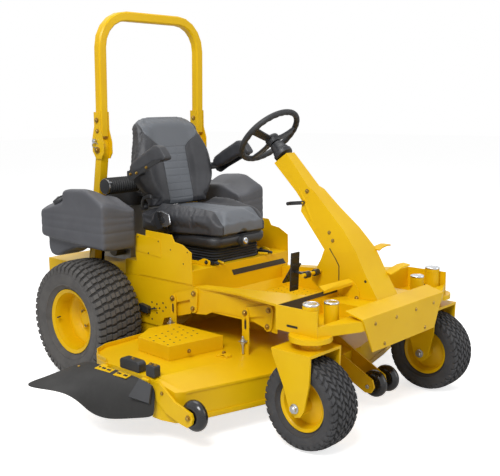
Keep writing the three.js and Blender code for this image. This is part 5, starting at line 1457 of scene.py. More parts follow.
@dataclass
class Column:
    """Details of the steering column: painted shade in the cover's slit, bolts, holes, foot tabs and the pedal guard.
    """

    body: str = "chassis"

    def seam(self) -> None:
        """Dark strip of painted shade in the slit where the lower cover meets the column's side."""
        form = Form()
        for s in (-1, 1):
            path = [(s * 77.4, -1226, 752), (s * 79.8, -1262, 708), (s * 80.4, -1281, 678), (s * 80.4, -1281, 640),
                    (s * 80.4, -1281, 612)]
            form.sweep(path, round_section(3.4, 4.2, 0.6, 2), (1, 0, 0))
        dress("column_cover_slit", form.mesh("slit"), [HOLE], self.body)

    def tabs(self) -> None:
        """Two folded yellow steps on the left side."""
        form = Form()
        form.sweep([(72, -1374, 742), (96, -1376, 752), (128, -1382, 758), (150, -1386, 756)], round_section(44, 7, 2), (0, 1, 0))
        form.sweep([(76, -1436, 640), (100, -1446, 650), (140, -1462, 668), (176, -1474, 672)], round_section(46, 7, 2),
                   (0, 1, 0))
        dress("column_foot_tabs", form.mesh("foot tabs"), [YELLOW], self.body, bevel=1.0)

    def guard(self) -> None:
        """Folded guard beside the column behind the pedals' slot."""
        form = Form()
        for side in (-1, 1):
            top = [(-204, -1262, 604), (-82, -1338, 629), (-82, -1364, 617), (-204, -1292, 586)]
            lip = [(-204, -1292, 586), (-82, -1364, 617), (-82, -1364, 604), (-204, -1291, 574)]
            for quad, shift in ((top, (0, 0, -4)), (lip, (0, 4, 0))):
                upper = [(-side * x, y, z) for x, y, z in quad]
                under = [(x + shift[0], y + shift[1], z + shift[2]) for x, y, z in upper]
                form.faces(upper + under, [(0, 1, 2, 3), (7, 6, 5, 4), (0, 4, 5, 1), (1, 5, 6, 2), (2, 6, 7, 3), (3, 7, 4, 0)])
            low, high = sorted((side * 80.2, side * 84.6))
            form.prism("x", rounded([(-1330, 627), (-1366, 618), (-1394, 577), (-1397, 500), (-1340, 500)], 10), low, high)
        dress("pedal_guard", form.mesh("pedal guard"), [YELLOW], self.body, bevel=0.9)

    def build(self) -> None:
        """Build the details and their fastenings."""
        self.body = body_of("column_cover")
        self.seam()
        self.tabs()
        self.guard()
        bolts = Fasteners("column_bolts", self.body, "zinc_steel")
        for s in (-1, 1):
            bolts.put((s * 44.8, -1072, 1000), (s, 0, 0.05), 15)
            bolts.put((s * 64.6, -1215, 822), (s, 0, 0.12), 13)
            bolts.put((s * 70.6, -1239, 788), (s, 0, 0.12), 13)
            bolts.put((s * 84.7, -1382, 545), (s, 0, 0), 16)
        bolts.build()
        holes = Fasteners("column_holes", self.body, "black_plastic", HOLE, Head.HOLE)
        for s in (-1, 1):
            holes.put((s * 51.4, -1182, 913), (s, 0, 0.12), 13)
            holes.put((s * 80.1, -1423, 626), (s, 0, 0), 13)
            holes.put((s * 80.1, -1180, 640), (s, 0, 0), 11)
        holes.build()


@dataclass
class Pedal:
    """A bent steel pedal with a drilled black tread."""

    name: str
    body: str
    outer: float
    inner: float
    low: tuple[float, float]
    high: tuple[float, float]
    pivot: tuple[float, float] = (-1175.0, 640.0)
    thick: float = 8.0

    def build(self, node: str) -> None:
        """Hub, arm, and tread with raised grips on both faces."""
        y0, z0 = self.pivot
        form = Form()
        middle = -(self.outer + self.inner) / 2
        shell = [(9.4, middle - 15), (15, middle - 15), (16, middle - 13), (16, middle + 13), (15, middle + 15), (9.4, middle + 15)]
        form.lathe(shell, (0, y0, z0), (1, 0, 0), 36)
        ay, az = self.low
        by, bz = self.high
        my, mz = (ay + by) / 2, (az + bz) / 2
        long = math.hypot(by - ay, bz - az)
        ny, nz = (bz - az) / long * self.thick / 2, -(by - ay) / long * self.thick / 2
        away = Vector((0, my - y0, mz - z0))
        gap = away.normalized() * 14
        form.sweep([(middle, y0 + gap.y, z0 + gap.z), (middle, my, mz)], round_section(14, 9, 2), (1, 0, 0))
        face = [(ay + ny, az + nz), (by + ny, bz + nz), (by - ny, bz - nz), (ay - ny, az - nz)]
        form.prism("x", face, -self.outer, -self.inner)
        dress(self.name, form.mesh(self.name), [BLACK_COAT], self.body, [node], bevel=1.4)
        holes = Fasteners(self.name + "_tread_dimples", self.body, "black_plastic", RUBBER, Head.GRIP)
        aim = Vector((0, ny, nz)).normalized()
        if aim.y > 0 or (aim.y == 0 and aim.z < 0):
            aim = -aim
        for side in (1, -1):
            for k in range(5):
                t = 0.12 + 0.19 * k
                for x in (-self.outer + 12, middle, -self.inner - 12):
                    spot = Vector((x, ay + (by - ay) * t, az + (bz - az) * t)) + aim * side * self.thick / 2
                    holes.put(tuple(spot), tuple(aim * side), 9)
        holes.build()


# Roll bar


@dataclass
class RollBar:
    """Fittings of the folding roll bar: pivot nuts, lock rings and clamp bolts."""

    leg: float = 349.0
    tube: float = 25.0
    ear: float = 6.0
    pivot: tuple[float, float] = (62.0, 1175.0)

    def build(self) -> None:
        """Build the fittings on hoop, posts and lock pins."""
        y, z = self.pivot
        hoop = body_of("rops_hoop")
        bolts = Fasteners("roll_bar_pivot_nuts", hoop, "zinc_steel")
        upper = Fasteners("roll_bar_clamp_bolts", hoop, "zinc_steel")
        outer = self.leg + self.tube + self.ear
        for s in (-1, 1):
            for way in (-1, 1):
                x = s * (self.leg + way * (self.tube + self.ear))
                bolts.put((x, y, z), (s * way, 0, 0), 26)
                upper.put((x, y - 3, z + 156), (s * way, 0, 0), 20)
                upper.put((x, y - 4, z + 100), (s * way, 0, 0), 17)
        bolts.build()
        upper.build()
        posts = Fasteners("roll_bar_post_bolts", "chassis", "zinc_steel")
        for s in (-1, 1):
            for y_foot in (-42, 42):
                posts.put((s * (self.leg + 18), 162 + y_foot, 544), (0, 0, 1), 18)
        posts.build()
        for name, s in (("right", -1), ("left", 1)):
            ring = Form()
            ly, lz = y + 14.4, z + 48
            section = [(15 + 2.2 * math.cos(math.tau * k / 8), 2.2 * math.sin(math.tau * k / 8)) for k in range(8)]
            ring.lathe(section, (s * (outer + 9), ly - 4, lz - 21), (0.25, 0.3, 0.2), 32)
            dress(f"lock_pin_ring_{name}", ring.mesh("ring"), [ZINC], f"lock_pin_{name}")


# Tanks, engine and hose


@dataclass
class FuelTank:
    """A rotomoulded tank with pressed bands along its seam line, and its lobed cap."""

    name: str
    side: int
    voxel: float = 7.0
    cap_at: Point = (556.0, 165.0, 914.0)
    cap_tilt: Point = (0.42, 0.22, 0.88)
    sag: float = 48.0
    bands: Sequence[tuple[float, float, float]] = ((779, 5, 2.4), (700, 8, 1.2), (732, 8, 1.2), (820, 9, 1.2), (856, 9, 1.2))

    def shell(self, node: str) -> None:
        """Round the solid off as a rotomoulding and press a band into it."""
        source = frame["nodes"][node].data
        bm = bmesh.new()
        bm.from_mesh(source)
        bmesh.ops.remove_doubles(bm, verts=bm.verts, dist=0.00002)
        mesh = bpy.data.meshes.new(node + "_form")
        bm.to_mesh(mesh)
        bm.free()
        mesh = remeshed(mesh, self.voxel, 10, 0.6)
        normals = [Vector(n.vector) for n in mesh.vertex_normals]
        for i, vert in enumerate(mesh.vertices):
            spot = local(vert.co)
            deep = sum(depth * math.exp(-((spot.z - level) / wide) ** 2) for level, wide, depth in self.bands)
            fall = self.sag * smooth((self.cap_at[0] + 14 - abs(spot.x)) / 150) * smooth((spot.z - 800) / 190)
            vert.co = vert.co - normals[i] * deep * 0.001 - Vector((0, 0, fall * 0.001))
        mesh = subdivided(mesh)
        dress(f"fuel_tank_moulding_{self.name}", mesh, [TANK], body_of(node), [node], angle=180)

    def cap(self, node: str) -> None:
        """Cap with a knurled skirt and three lobes."""
        x, y, z = self.cap_at
        a, b, c = self.cap_tilt
        axis = (self.side * a, b, c)
        form = Form()
        form.lathe([(0, 12.2), (28.6, 12.2), (28.6, 1), (36.5, 1), (37.5, 3), (37.5, 16), (35, 19.5), (30, 21), (0, 21)],
                   (self.side * x, y, z), axis, 108, closed=False)
        centre = Vector((self.side * x, y, z))
        up = Vector(axis).normalized()

        def knurl(point: Vector) -> Vector:
            """Ribs round the skirt."""
            gone = point - centre
            out = gone - up * gone.dot(up)
            if out.length < 33:
                return point
            side = out.normalized()
            first = up.orthogonal().normalized()
            turn = math.atan2(side.dot(up.cross(first)), side.dot(first))
            return point - side * 1.4 * (0.5 + 0.5 * math.cos(36 * turn))
        form.shift(knurl)
        for k in range(3):
            first = Matrix.Rotation(math.radians(120 * k + 20), 3, up) @ up.orthogonal().normalized()
            path = [tuple(centre + first * r + up * h) for r, h in ((-2, 22.4), (12, 23), (24, 22.2), (32, 19.5))]
            form.sweep(path, round_section(13, 7, 3), tuple(up.cross(first)))
        dress(f"fuel_cap_moulding_{self.name}", form.mesh(node), [BLACK], body_of(node), [node], angle=40)

    def build(self) -> None:
        """Build tank and cap."""
        self.shell(f"fuel_tank_{self.name}")
        self.cap(f"fuel_cap_{self.name}")


@dataclass
class Engine:
    """What shows of the engine: fan screen, rocker covers, muffler, filter and the ribbed intake hose."""

    cleaner_y: float = 22.0
    cleaner_z: float = 985.0
    hose_outer: float = 45.0
    hose_root: float = 38.0
    hose_start: float = -378.0
    hose_end: float = -148.5

    def hose(self) -> None:
        """Corrugated hose with plain cuffs and wire clamps."""
        form = Form()
        start, end = self.hose_start, self.hose_end
        cuff = 12.0
        count = 14
        span = (end - start - 2 * cuff) / count
        profile = [(0, start), (self.hose_root + 1, start), (self.hose_root + 1, start + cuff)]
        for k in range(count):
            base = start + cuff + span * k
            profile += [(self.hose_root - 1, base + span * 0.12), (self.hose_outer - 1.5, base + span * 0.3),
                        (self.hose_outer, base + span * 0.45), (self.hose_outer - 1.5, base + span * 0.6),
                        (self.hose_root - 1, base + span * 0.8)]
        profile += [(self.hose_root + 1, end - cuff), (self.hose_root + 1, end), (0, end)]
        place = (0, self.cleaner_y, self.cleaner_z)
        form.lathe(profile, place, (1, 0, 0), 48, closed=False)
        parts = [finished(form.mesh("hose"), RUBBER)]
        clamp = Form()
        for x in (start + 4, start + 9, end - 9, end - 4):
            ring = [(self.hose_root + 2.2 + 1.4 * math.cos(math.tau * k / 6), x + 1.4 * math.sin(math.tau * k / 6)) for k in range(6)]
            clamp.lathe(ring, place, (1, 0, 0), 40)
        for x in (start + 6.5, end - 6.5):
            clamp.block((x - 5, self.cleaner_y - 50, self.cleaner_z + 20), (x + 5, self.cleaner_y - 34, self.cleaner_z + 27))
        parts.append(finished(clamp.mesh("clamps"), ZINC))
        dress("ribbed_intake_hose", joined(parts, "ribbed_intake_hose"), [], body_of("intake_hose"),
              ["intake_hose"], angle=60)

    def fittings(self) -> None:
        """Fan screen, rocker covers, muffler, oil filter and air cleaner bands."""
        body = body_of("engine_block")
        rib = Form()
        rib.block((40, -2.5, 0), (168, 2.5, 4.5))
        host = bpy.data.meshes.new("fan middle")
        host.from_pydata([(0, 0, 0)], [], [])
        grille = run_tree(host, radial_tree(), {"Piece": template("fan rib", rib), "Count": 36, "Centre": world((0, 300, 962.2)),
                                                "Turn": (0.0, 0.0, 1.0), "Finish": BLACK.make()})
        hub = Form()
        hub.lathe([(0, 0), (48, 0), (48, 7), (40, 10), (0, 10)], (0, 300, 962.2), (0, 0, 1), 48, closed=False)
        hub.lathe([(166, 0), (182, 0), (182, 5), (176, 8), (166, 6)], (0, 300, 962.2), (0, 0, 1), 72)
        parts = [grille, finished(hub.mesh("fan hub"), BLACK)]
        dress("engine_fan_screen", joined(parts, "engine_fan_screen"), [], body)
        metal = Form()
        for s in (-1, 1):
            for k in range(7):
                low, high = sorted((s * 205.5, s * 222))
                metal.block((low, 222 + 24 * k, 640), (high, 228 + 24 * k, 748))
            low, high = sorted((s * 205.3, s * 214))
            metal.block((low, 216, 634), (high, 384, 754))
        dress("engine_rocker_covers", metal.mesh("rocker covers"), [ALLOY], body, bevel=2.0)
        pipe = Form()
        pipe.lathe([(0, 0), (44, 0), (54, 8), (56, 14), (56, 296), (54, 302), (44, 310), (0, 310)], (-155, 506, 650), (1, 0, 0),
                   40, closed=False)
        for x in (-90, 90):
            pipe.sweep([(x, 462, 700), (x, 480, 690), (x, 500, 670)], circle_section(17, 14), (1, 0, 0))
        pipe.rod((155, 506, 650), (190, 516, 650), 18, 24, 1)
        dress("engine_muffler", pipe.mesh("muffler"), [CAST], body, angle=40)
        filt = Form()
        filt.lathe([(0, 0), (34, 0), (38, 4), (38, 60), (35, 66), (0, 66)], (-122.5, 210, 600), (-1, 0, 0), 36, closed=False)
        dress("oil_filter", filt.mesh("oil filter"), [BLACK], body, angle=40)
        band = Form()
        for x in (-118, 0, 118):
            band.lathe([(54.3, x - 6), (56, x - 6), (56, x + 6), (54.3, x + 6)], (0, self.cleaner_y, self.cleaner_z), (1, 0, 0), 48)
        band.block((-126, self.cleaner_y - 62, self.cleaner_z - 8), (-110, self.cleaner_y - 54, self.cleaner_z + 14))
        band.block((110, self.cleaner_y - 62, self.cleaner_z - 8), (126, self.cleaner_y - 54, self.cleaner_z + 14))
        dress("air_cleaner_bands", band.mesh("bands"), [ZINC], body_of("engine_shroud"), bevel=0.6)

    def build(self) -> None:
        """Build hose and fittings."""
        self.hose()
        self.fittings()


# Frame, yoke and deck fittings


@dataclass
class FrontEnd:
    """Chrome caps, fork bolts and plate bolts of the front yoke."""

    caster: Point = (481.0, -1433.0, 597.0)
    inner_x: float = 341.0
    inner_top: float = 578.0

    def cap(self, at: Point, radius: float) -> Form:
        """A pressed dust cap with a rolled rim."""
        form = Form()
        r = radius
        form.lathe([(0, 0), (r, 0), (r + 1.5, 2), (r + 1.5, 7), (r, 9), (r - 3, 10), (r - 6, 8), (r - 9, 8.5), (r * 0.5, 10.5),
                    (0, 11)], at, (0, 0, 1), 56, closed=False)
        return form

    def build(self) -> None:
        """Build caps and fastenings."""
        x, y, z = self.caster
        for name, s in (("right", -1), ("left", 1)):
            dress(f"caster_dust_cap_{name}", self.cap((s * x, y, z + 0.2), 34).mesh("dust cap"), [CHROME], f"caster_{name}",
                  angle=50)
            dress(f"yoke_dust_cap_{name}", self.cap((s * self.inner_x, y, self.inner_top + 0.2), 31).mesh("dust cap"), [CHROME],
                  "chassis", angle=50)
            axle = Fasteners(f"caster_axle_nuts_{name}", f"caster_{name}", "zinc_steel", ZINC)
            for way in (-1, 1):
                axle.put((s * x + way * 104.2, y, 193), (way, 0, 0), 30)
            axle.build()
        plate = Fasteners("front_plate_bolts", "chassis", "zinc_steel", PLATED, Head.CARRIAGE)
        for px, pz in ((-236, 497), (-75, 494), (85, 495), (236, 497), (-165, 397), (165, 397)):
            plate.put((px, -1580.2, pz), (0, -1, 0), 15)
        plate.build()
        slots = Form()
        for s in (-1, 1):
            low, high = sorted((s * 514.1, s * 514.5))
            slots.prism("x", rounded([(-1334, 499), (-1392, 499), (-1392, 509), (-1334, 509)], 5), low, high)
        dress("yoke_side_slots", slots.mesh("slots"), [HOLE], "chassis")


@dataclass
class FrameDetails:
    """Cranks' bolts, skirt holes, painted hole shade of the foot plate, plates and the wiring clip of the frame."""

    def skirts(self) -> None:
        """Punched holes and the black clip on the frame's skirt plates."""
        holes = Fasteners("skirt_plate_holes", "chassis", "black_plastic", HOLE, Head.HOLE)
        for s in (-1, 1):
            for y, z in ((-314, 410), (-352, 406), (-399, 419), (-296, 352), (-351, 361), (-397, 377), (-372, 388), (-330, 384),
                         (-420, 400), (-312, 322)):
                holes.put((s * 360.1, y, z), (s, 0, 0), 11)
            for y in (-720, -900, -1060, -1180):
                holes.put((s * 360.1, y, 500), (s, 0, 0), 8)
        holes.build()
        form = Form()
        for s in (-1, 1):
            low, high = sorted((s * 360.4, s * 386))
            form.prism("x", rounded([(-236, 398), (-306, 388), (-306, 352), (-236, 360)], 8), low, high)
            form.rod((s * 372, -306, 376), (s * 372, -362, 386), 3.5, 12)
        dress("harness_clips", form.mesh("clips"), [BLACK], "chassis", bevel=2)

    def plates(self) -> None:
        """Riveted cover plates of the side panels, their rivets as flat discs of painted hole shade, and the bare dark
        strip of the seat box.
        """
        form = Form()
        for s in (-1, 1):
            low, high = sorted((s * 364.2, s * 367))
            form.prism("x", rounded([(-214, 757), (-398, 745), (-400, 652), (-214, 668)], 8), low, high)
        dress("side_cover_plates", form.mesh("cover plates"), [YELLOW], "chassis", bevel=0.8)
        strip = Form()
        strip.prism("y", [(-73, 546), (340, 546), (317, 575), (-87, 575)], -621.4, -620.3)
        dress("seat_box_trim_strip", strip.mesh("trim strip"), [BLACK], "chassis")
        # The rivets are drawn as flat dark discs of painted hole shade.
        rivets = Fasteners("side_panel_rivets", "chassis", "zinc_steel", HOLE, Head.HOLE)
        for s in (-1, 1):
            for y, z in ((-228, 741), (-384, 733), (-306, 665)):
                rivets.put((s * 367.1, y, z), (s, 0, 0), 9)
            for y, z in ((-470, 700), (-560, 640), (-590, 700)):
                rivets.put((s * 364.1, y, z), (s, 0, 0), 8)
        rivets.build()

    def arms(self) -> None:
        """Arched cover plates over the rails between the lift cranks, and the cross plate behind the deck."""
        arch = [(-636, 509), (-720, 520), (-817, 528), (-900, 528), (-975, 523), (-1040, 518), (-1104, 512), (-1156, 508),
                (-1156, 400), (-1120, 402), (-1060, 420), (-983, 440), (-920, 443), (-868, 442), (-800, 440), (-756, 434),
                (-712, 412), (-636, 404)]
        form = Form()
        for s in (-1, 1):
            low, high = sorted((s * 360.3, s * 363.6))
            form.prism("x", arch, low, high)
        form.block((-346, -332, 196), (346, -326, 452))
        form.block((-346, -326, 196), (346, -290, 202))
        for s in (-1, 1):
            low, high = sorted((s * 346, s * 352))
            form.block((low, -332, 196), (high, -190, 360))
        # A black sheet just inside the yoke's rear wall: painted shade of the yoke's dark inside.
        inside_shade = Form()
        inside_shade.prism("y", [(-507, 485), (-330, 485), (-318, 562), (-96, 562), (-96, 581), (-507, 581)], -1283.4, -1281.4)
        dress("yoke_lining", inside_shade.mesh("yoke lining"), [BLACK], "chassis")
        dress("rail_cover_plates", form.mesh("rail covers"), [YELLOW], "chassis", bevel=0.8)

    def grip(self) -> None:
        """Dark discs of painted shade in the foot plate's punched holes."""
        # Flat dark discs of painted shade stand in the foot plate's punched holes.
        foot_hole_shade = Fasteners("foot_plate_dimples", "chassis", "yellow_paint", HOLE, Head.HOLE)
        for row in range(10):
            for column in range(13):
                x = -276 + 44 * column + (22 if row % 2 else 0)
                y = -680 - 40 * row
                if abs(x) < 290 and not (abs(x) < 84 and y < -1000):
                    foot_hole_shade.put((x, y, 435.1), (0, 0, 1), 7)
        foot_hole_shade.build()

    def cranks(self) -> None:
        """Bolts at both ends of the lift cranks, hanger slots and adjusters."""
        ends = (("front", -1116, 503, -980, 471), ("rear", -640, 507, -495, 463))
        for name, s in (("right", -1), ("left", 1)):
            for place, py, pz, ly, lz in ends:
                bolt = Fasteners(f"crank_{place}_{name}_bolt", f"crank_{place}_{name}", "zinc_steel")
                bolt.put((s * 374.2, py, pz), (s, 0, 0), 20)
                low = (-1108, 428) if place == "front" else (-632, 432)
                bolt.put((s * 374.2, low[0], low[1]), (s, 0, 0), 18)
                bolt.build()
        pins = Fasteners("hanger_pins", "deck", "zinc_steel")
        slots = Form()
        rods = Form()
        for s in (-1, 1):
            for place, py, pz, ly, lz in ends:
                pins.put((s * 380.7, ly, lz), (s, 0, 0), 20)
                low, high = sorted((s * 380.6, s * 381.0))
                slots.prism("x", rounded([(ly - 5, 395), (ly + 5, 395), (ly + 5, 436), (ly - 5, 436)], 5), low, high)
                low, high = sorted((s * 380.8, s * 412))
                rods.block((low, ly - 14, 338), (high, ly + 14, 344))
                rods.rod((s * 398, ly, 282), (s * 398, ly, 366), 5.5, 16, 1)
                rods.lathe([(5.6, 344.2), (11, 344.2), (11, 352), (5.6, 352)], (s * 398, ly, 0), (0, 0, 1), 6)
                rods.lathe([(5.6, 329), (11, 329), (11, 337.6), (5.6, 337.6)], (s * 398, ly, 0), (0, 0, 1), 6)
        pins.build()
        dress("hanger_slots", slots.mesh("hanger slots"), [HOLE], "deck")
        dress("hanger_adjusters", rods.mesh("adjusters"), [ZINC], "deck", bevel=0.5)

    def build(self) -> None:
        """Build all of it."""
        self.skirts()
        self.plates()
        self.arms()
        self.grip()
        self.cranks()


@dataclass
class DeckDetails:
    """Belt cover perforations, hinge blocks, corner bolts and adjuster tabs of the deck."""

    top: float = 280.0
    cover_top: float = 346.3
    half: float = 880.0

    def build(self) -> None:
        """Build all of it."""
        holes = Fasteners("belt_cover_holes", "deck", "black_plastic", HOLE, Head.HOLE)
        for s in (-1, 1):
            for row in range(4):
                for column in range(6):
                    x = 436 + 42 * column + (20 if row % 2 else 0)
                    y = -600 - 48 * row - 14 * column * 0.4
                    holes.put((s * x, y, self.cover_top + 0.1), (0, 0, 1), 10)
        holes.build()
        bolts = Fasteners("deck_bolts", "deck", "zinc_steel")
        for s in (-1, 1):
            bolts.put((s * 600, -838, 315), (0.05 * s, -1, 0), 15)
            bolts.put((s * 470, -930, self.top + 14), (0, 0, 1), 14)
        bolts.put((-888.2, -1133, 165), (-1, 0, 0), 18)
        bolts.put((-888.2, -980, 232), (-1, 0, 0), 12)
        bolts.build()
        tabs = Form()
        for s in (-1, 1):
            tabs.prism("z", rounded([(s * 440, -900), (s * 500, -900), (s * 486, -968), (s * 452, -968)], 14), self.top + 0.2,
                       self.top + 5)
            tabs.sweep([(s * 470, -905, self.top + 3), (s * 470, -940, self.top + 12), (s * 470, -962, self.top + 5)],
                       round_section(34, 5, 2), (1, 0, 0))
        dress("deck_adjuster_tabs", tabs.mesh("adjuster tabs"), [YELLOW], "deck", bevel=1)
        blocks = Form()
        blocks.prism("x", rounded([(-700, 281), (-828, 281), (-828, 318), (-816, 328), (-712, 328), (-700, 318)], 8), -882, -840)
        blocks.prism("x", rounded([(-872, 281), (-926, 281), (-926, 330), (-872, 330)], 8), -882, -846)
        dress("deflector_hinge_blocks", blocks.mesh("hinge blocks"), [BLACK], "deck", bevel=2.5, segments=3)
        caps = Fasteners("hinge_block_bolts", "deck", "zinc_steel")
        for y in (-884, -914):
            caps.put((-864, y, 330.2), (0, 0, 1), 12)
        caps.put((-861, -764, 328.2), (0, 0, 1), 12)
        caps.build()


@dataclass
class DeckEdges:
    """Raised rims of the deck's rear lobes and the skid band along its foot."""

    half: float = 880.0
    rear: float = -411.0
    long: float = -834.0
    plan: Sequence[tuple[float, float]] = (
        (0.0, 1.0), (0.17, 0.994), (0.534, 0.904), (0.943, 0.778), (0.98, 0.742), (1.0, 0.658), (1.0, 0.227), (0.985, 0.13),
        (0.93, 0.045), (0.84, 0.0), (0.5, 0.0))

    def line(self, start: int, end: int, inward: float) -> list[Vector]:
        """Points of the plan's edge on the left side, moved in by a distance."""
        spots = [Vector((a * self.half, self.rear + b * self.long)) for a, b in self.plan]
        middle = Vector((self.half * 0.5, self.rear + 0.45 * self.long))
        result: list[Vector] = []
        for k in range(start, end + 1):
            before, after = spots[max(0, k - 1)], spots[min(len(spots) - 1, k + 1)]
            run = (after - before).normalized()
            normal = Vector((run.y, -run.x))
            if normal.dot(middle - spots[k]) < 0:
                normal = -normal
            result.append(spots[k] + normal * inward)
        return result

    def wall(self, form: Form, side: int, line: Sequence[Vector], low: float, high: float, thick: float) -> None:
        """Upright strip of a thickness along a line, from low to high."""
        path = [(side * p.x, p.y, (low + high) / 2) for p in line]
        form.sweep(path, round_section(high - low, thick, thick * 0.3, 2), (0, 0, 1))

    def build(self) -> None:
        """Build rims and band."""
        form = Form()
        for side in (-1, 1):
            rim = self.line(6, 10, 5.0)
            finer: list[Vector] = []
            for a, b in zip(rim, rim[1:]):
                finer += [a.lerp(b, t / 3) for t in range(3)]
            self.wall(form, side, finer + [rim[-1]], 278, 300, 4.5)
            self.wall(form, side, self.line(1, 3, -2.2), 110, 134, 4.0)
            self.wall(form, side, self.line(1, 3, -1.6), 232, 244, 3.0)
        dress("deck_edge_rims", form.mesh("edge rims"), [YELLOW], "deck", angle=40)


@dataclass
class Deflector:
    """The rubber discharge flap, its hinge straps and its bolted patch."""

    hinge: tuple[float, float] = (-891.0, 267.4)
    front: float = -945.0
    long: float = 500.0
    reach: float = 300.0
    drop: float = 163.0
    thick: float = 5.0
    rows: Sequence[tuple[float, Sequence[tuple[float, float]]]] = (
        (0.0, ((0.02, 0.865), (0.027, 0.59), (0.04, 0.344), (0.05, 0.135))),
        (0.08, ((0.013, 0.97), (0.08, 0.834), (0.147, 0.466), (0.18, 0.123))),
        (0.29, ((0.007, 1.0), (0.163, 0.926), (0.297, 0.497), (0.347, 0.0))),
        (0.396, ((0.007, 1.0), (0.197, 0.945), (0.373, 0.53), (0.43, 0.0))),
        (0.52, ((0.007, 1.0), (0.23, 0.945), (0.43, 0.59), (0.497, 0.086))),
        (0.65, ((0.007, 1.0), (0.247, 0.933), (0.48, 0.68), (0.537, 0.344))),
        (0.77, ((0.007, 1.0), (0.263, 0.926), (0.53, 0.76), (0.647, 0.564))),
        (0.89, ((0.007, 0.98), (0.28, 0.908), (0.613, 0.785), (0.83, 0.663))),
        (1.0, ((0.01, 0.9), (0.23, 0.871), (0.63, 0.785), (1.0, 0.785))),
    )

    def point(self, share: float, out: float, up: float, lift: float = 0.0) -> Point:
        """Layout point of shares along, out and up."""
        x, z = self.hinge
        return (x - out * self.reach, self.front + share * self.long, z - self.drop + up * self.drop + lift)

    def build(self) -> None:
        """Flap as a smooth sheet with thickness, and its fittings."""
        form = Form()
        points = [self.point(share, out, up) for share, row in self.rows for out, up in row]
        form.faces(points, [(j * 4 + i, j * 4 + i + 1, (j + 1) * 4 + i + 1, (j + 1) * 4 + i)
                            for j in range(len(self.rows) - 1) for i in range(3)])
        sheet = bpy.data.objects.new("flap", form.mesh("flap"))
        bpy.context.scene.collection.objects.link(sheet)
        finer = sheet.modifiers.new("finer", "SUBSURF")
        finer.levels = finer.render_levels = 3
        wall = sheet.modifiers.new("wall", "SOLIDIFY")
        wall.thickness = self.thick * 0.001
        wall.offset = 0.0
        mesh = settle(sheet)
        bpy.data.objects.remove(sheet)
        edge = self.hinge[0] - self.reach
        gap = min(local(v.co).x for v in mesh.vertices) - edge
        for vert in mesh.vertices:
            spot = local(vert.co)
            share = (spot.y - self.front) / self.long
            out = (self.hinge[0] - spot.x) / self.reach
            spot.x -= (gap - 0.5) * smooth((share - 0.55) / 0.4) * max(0.0, out)
            vert.co = world(spot)
        dress("deflector_flap", mesh, [FLAP], "chute", ["deflector_chute"], angle=40)
        straps = Form()
        for a, b in ((0.30, 0.46), (0.52, 0.72)):
            corners = [self.point(a, 0.02, 1.0, 4), self.point(b, 0.02, 1.0, 4), self.point(b, 0.14, 0.965, 4),
                       self.point(a, 0.12, 0.965, 4)]
            low = [(x, y, z - 3.5) for x, y, z in corners]
            straps.faces(corners + low, [(0, 1, 2, 3), (7, 6, 5, 4), (0, 4, 5, 1), (1, 5, 6, 2), (2, 6, 7, 3), (3, 7, 4, 0)])
        dress("deflector_hinge_straps", straps.mesh("straps"), [YELLOW], "chute", bevel=0.8)
        patch = Form()
        corners = [self.point(0.02, 0.035, 0.92, 5), self.point(0.16, 0.05, 1.0, 5), self.point(0.16, 0.26, 0.62, 5),
                   self.point(0.02, 0.09, 0.45, 5)]
        corners = [(x - 6, y - 1, z + 5) for x, y, z in corners]
        low = [(x + 9, y, z - 9) for x, y, z in corners]
        patch.faces(corners + low, [(0, 1, 2, 3), (7, 6, 5, 4), (0, 4, 5, 1), (1, 5, 6, 2), (2, 6, 7, 3), (3, 7, 4, 0)])
        dress("deflector_patch", patch.mesh("patch"), [BLACK], "chute", bevel=1.0)
        bolts = Fasteners("deflector_bolts", "chute", "zinc_steel", PLATED, Head.CARRIAGE)
        slots = Fasteners("hinge_strap_slots", "chute", "black_plastic", HOLE, Head.HOLE)
        for a in (0.325, 0.35, 0.41, 0.435, 0.55, 0.575, 0.62, 0.645, 0.69):
            slots.put(self.point(a, 0.075, 0.985, 4.6), (-0.2, 0, 1), 13)
        slots.build()
        bolts.put(self.point(0.10, 0.15, 0.74, 4), (-0.75, -0.2, 0.6), 15)
        bolts.put(self.point(0.9, 0.2, 0.93, 3), (-0.1, 0, 1), 12)
        bolts.build()


def build_body() -> None:
    """Everything between the wheels and the seat."""
    SteeringWheel().build()
    Column().build()
    reach = 200.0
    y0, z0 = -1175.0, 640.0
    pads = {"forward": ((0.375, -0.42), (0.335, 0.47)), "reverse": ((0.855, -0.34), (0.555, 0.12))}
    spans = {"forward": (207.0, 150.0), "reverse": (145.0, 80.3)}
    for name, pad in pads.items():
        low, high = spread(pad, y0, reach, z0, reach)
        Pedal(f"{name}_pedal_steel", f"{name}_control", *spans[name], low, high).build(f"{name}_pedal")
    RollBar().build()
    for name, side in (("right", -1), ("left", 1)):
        FuelTank(name, side).build()
    Engine().build()
    FrontEnd().build()
    FrameDetails().build()
    DeckDetails().build()
    DeckEdges().build()
    Deflector().build()


# Stage


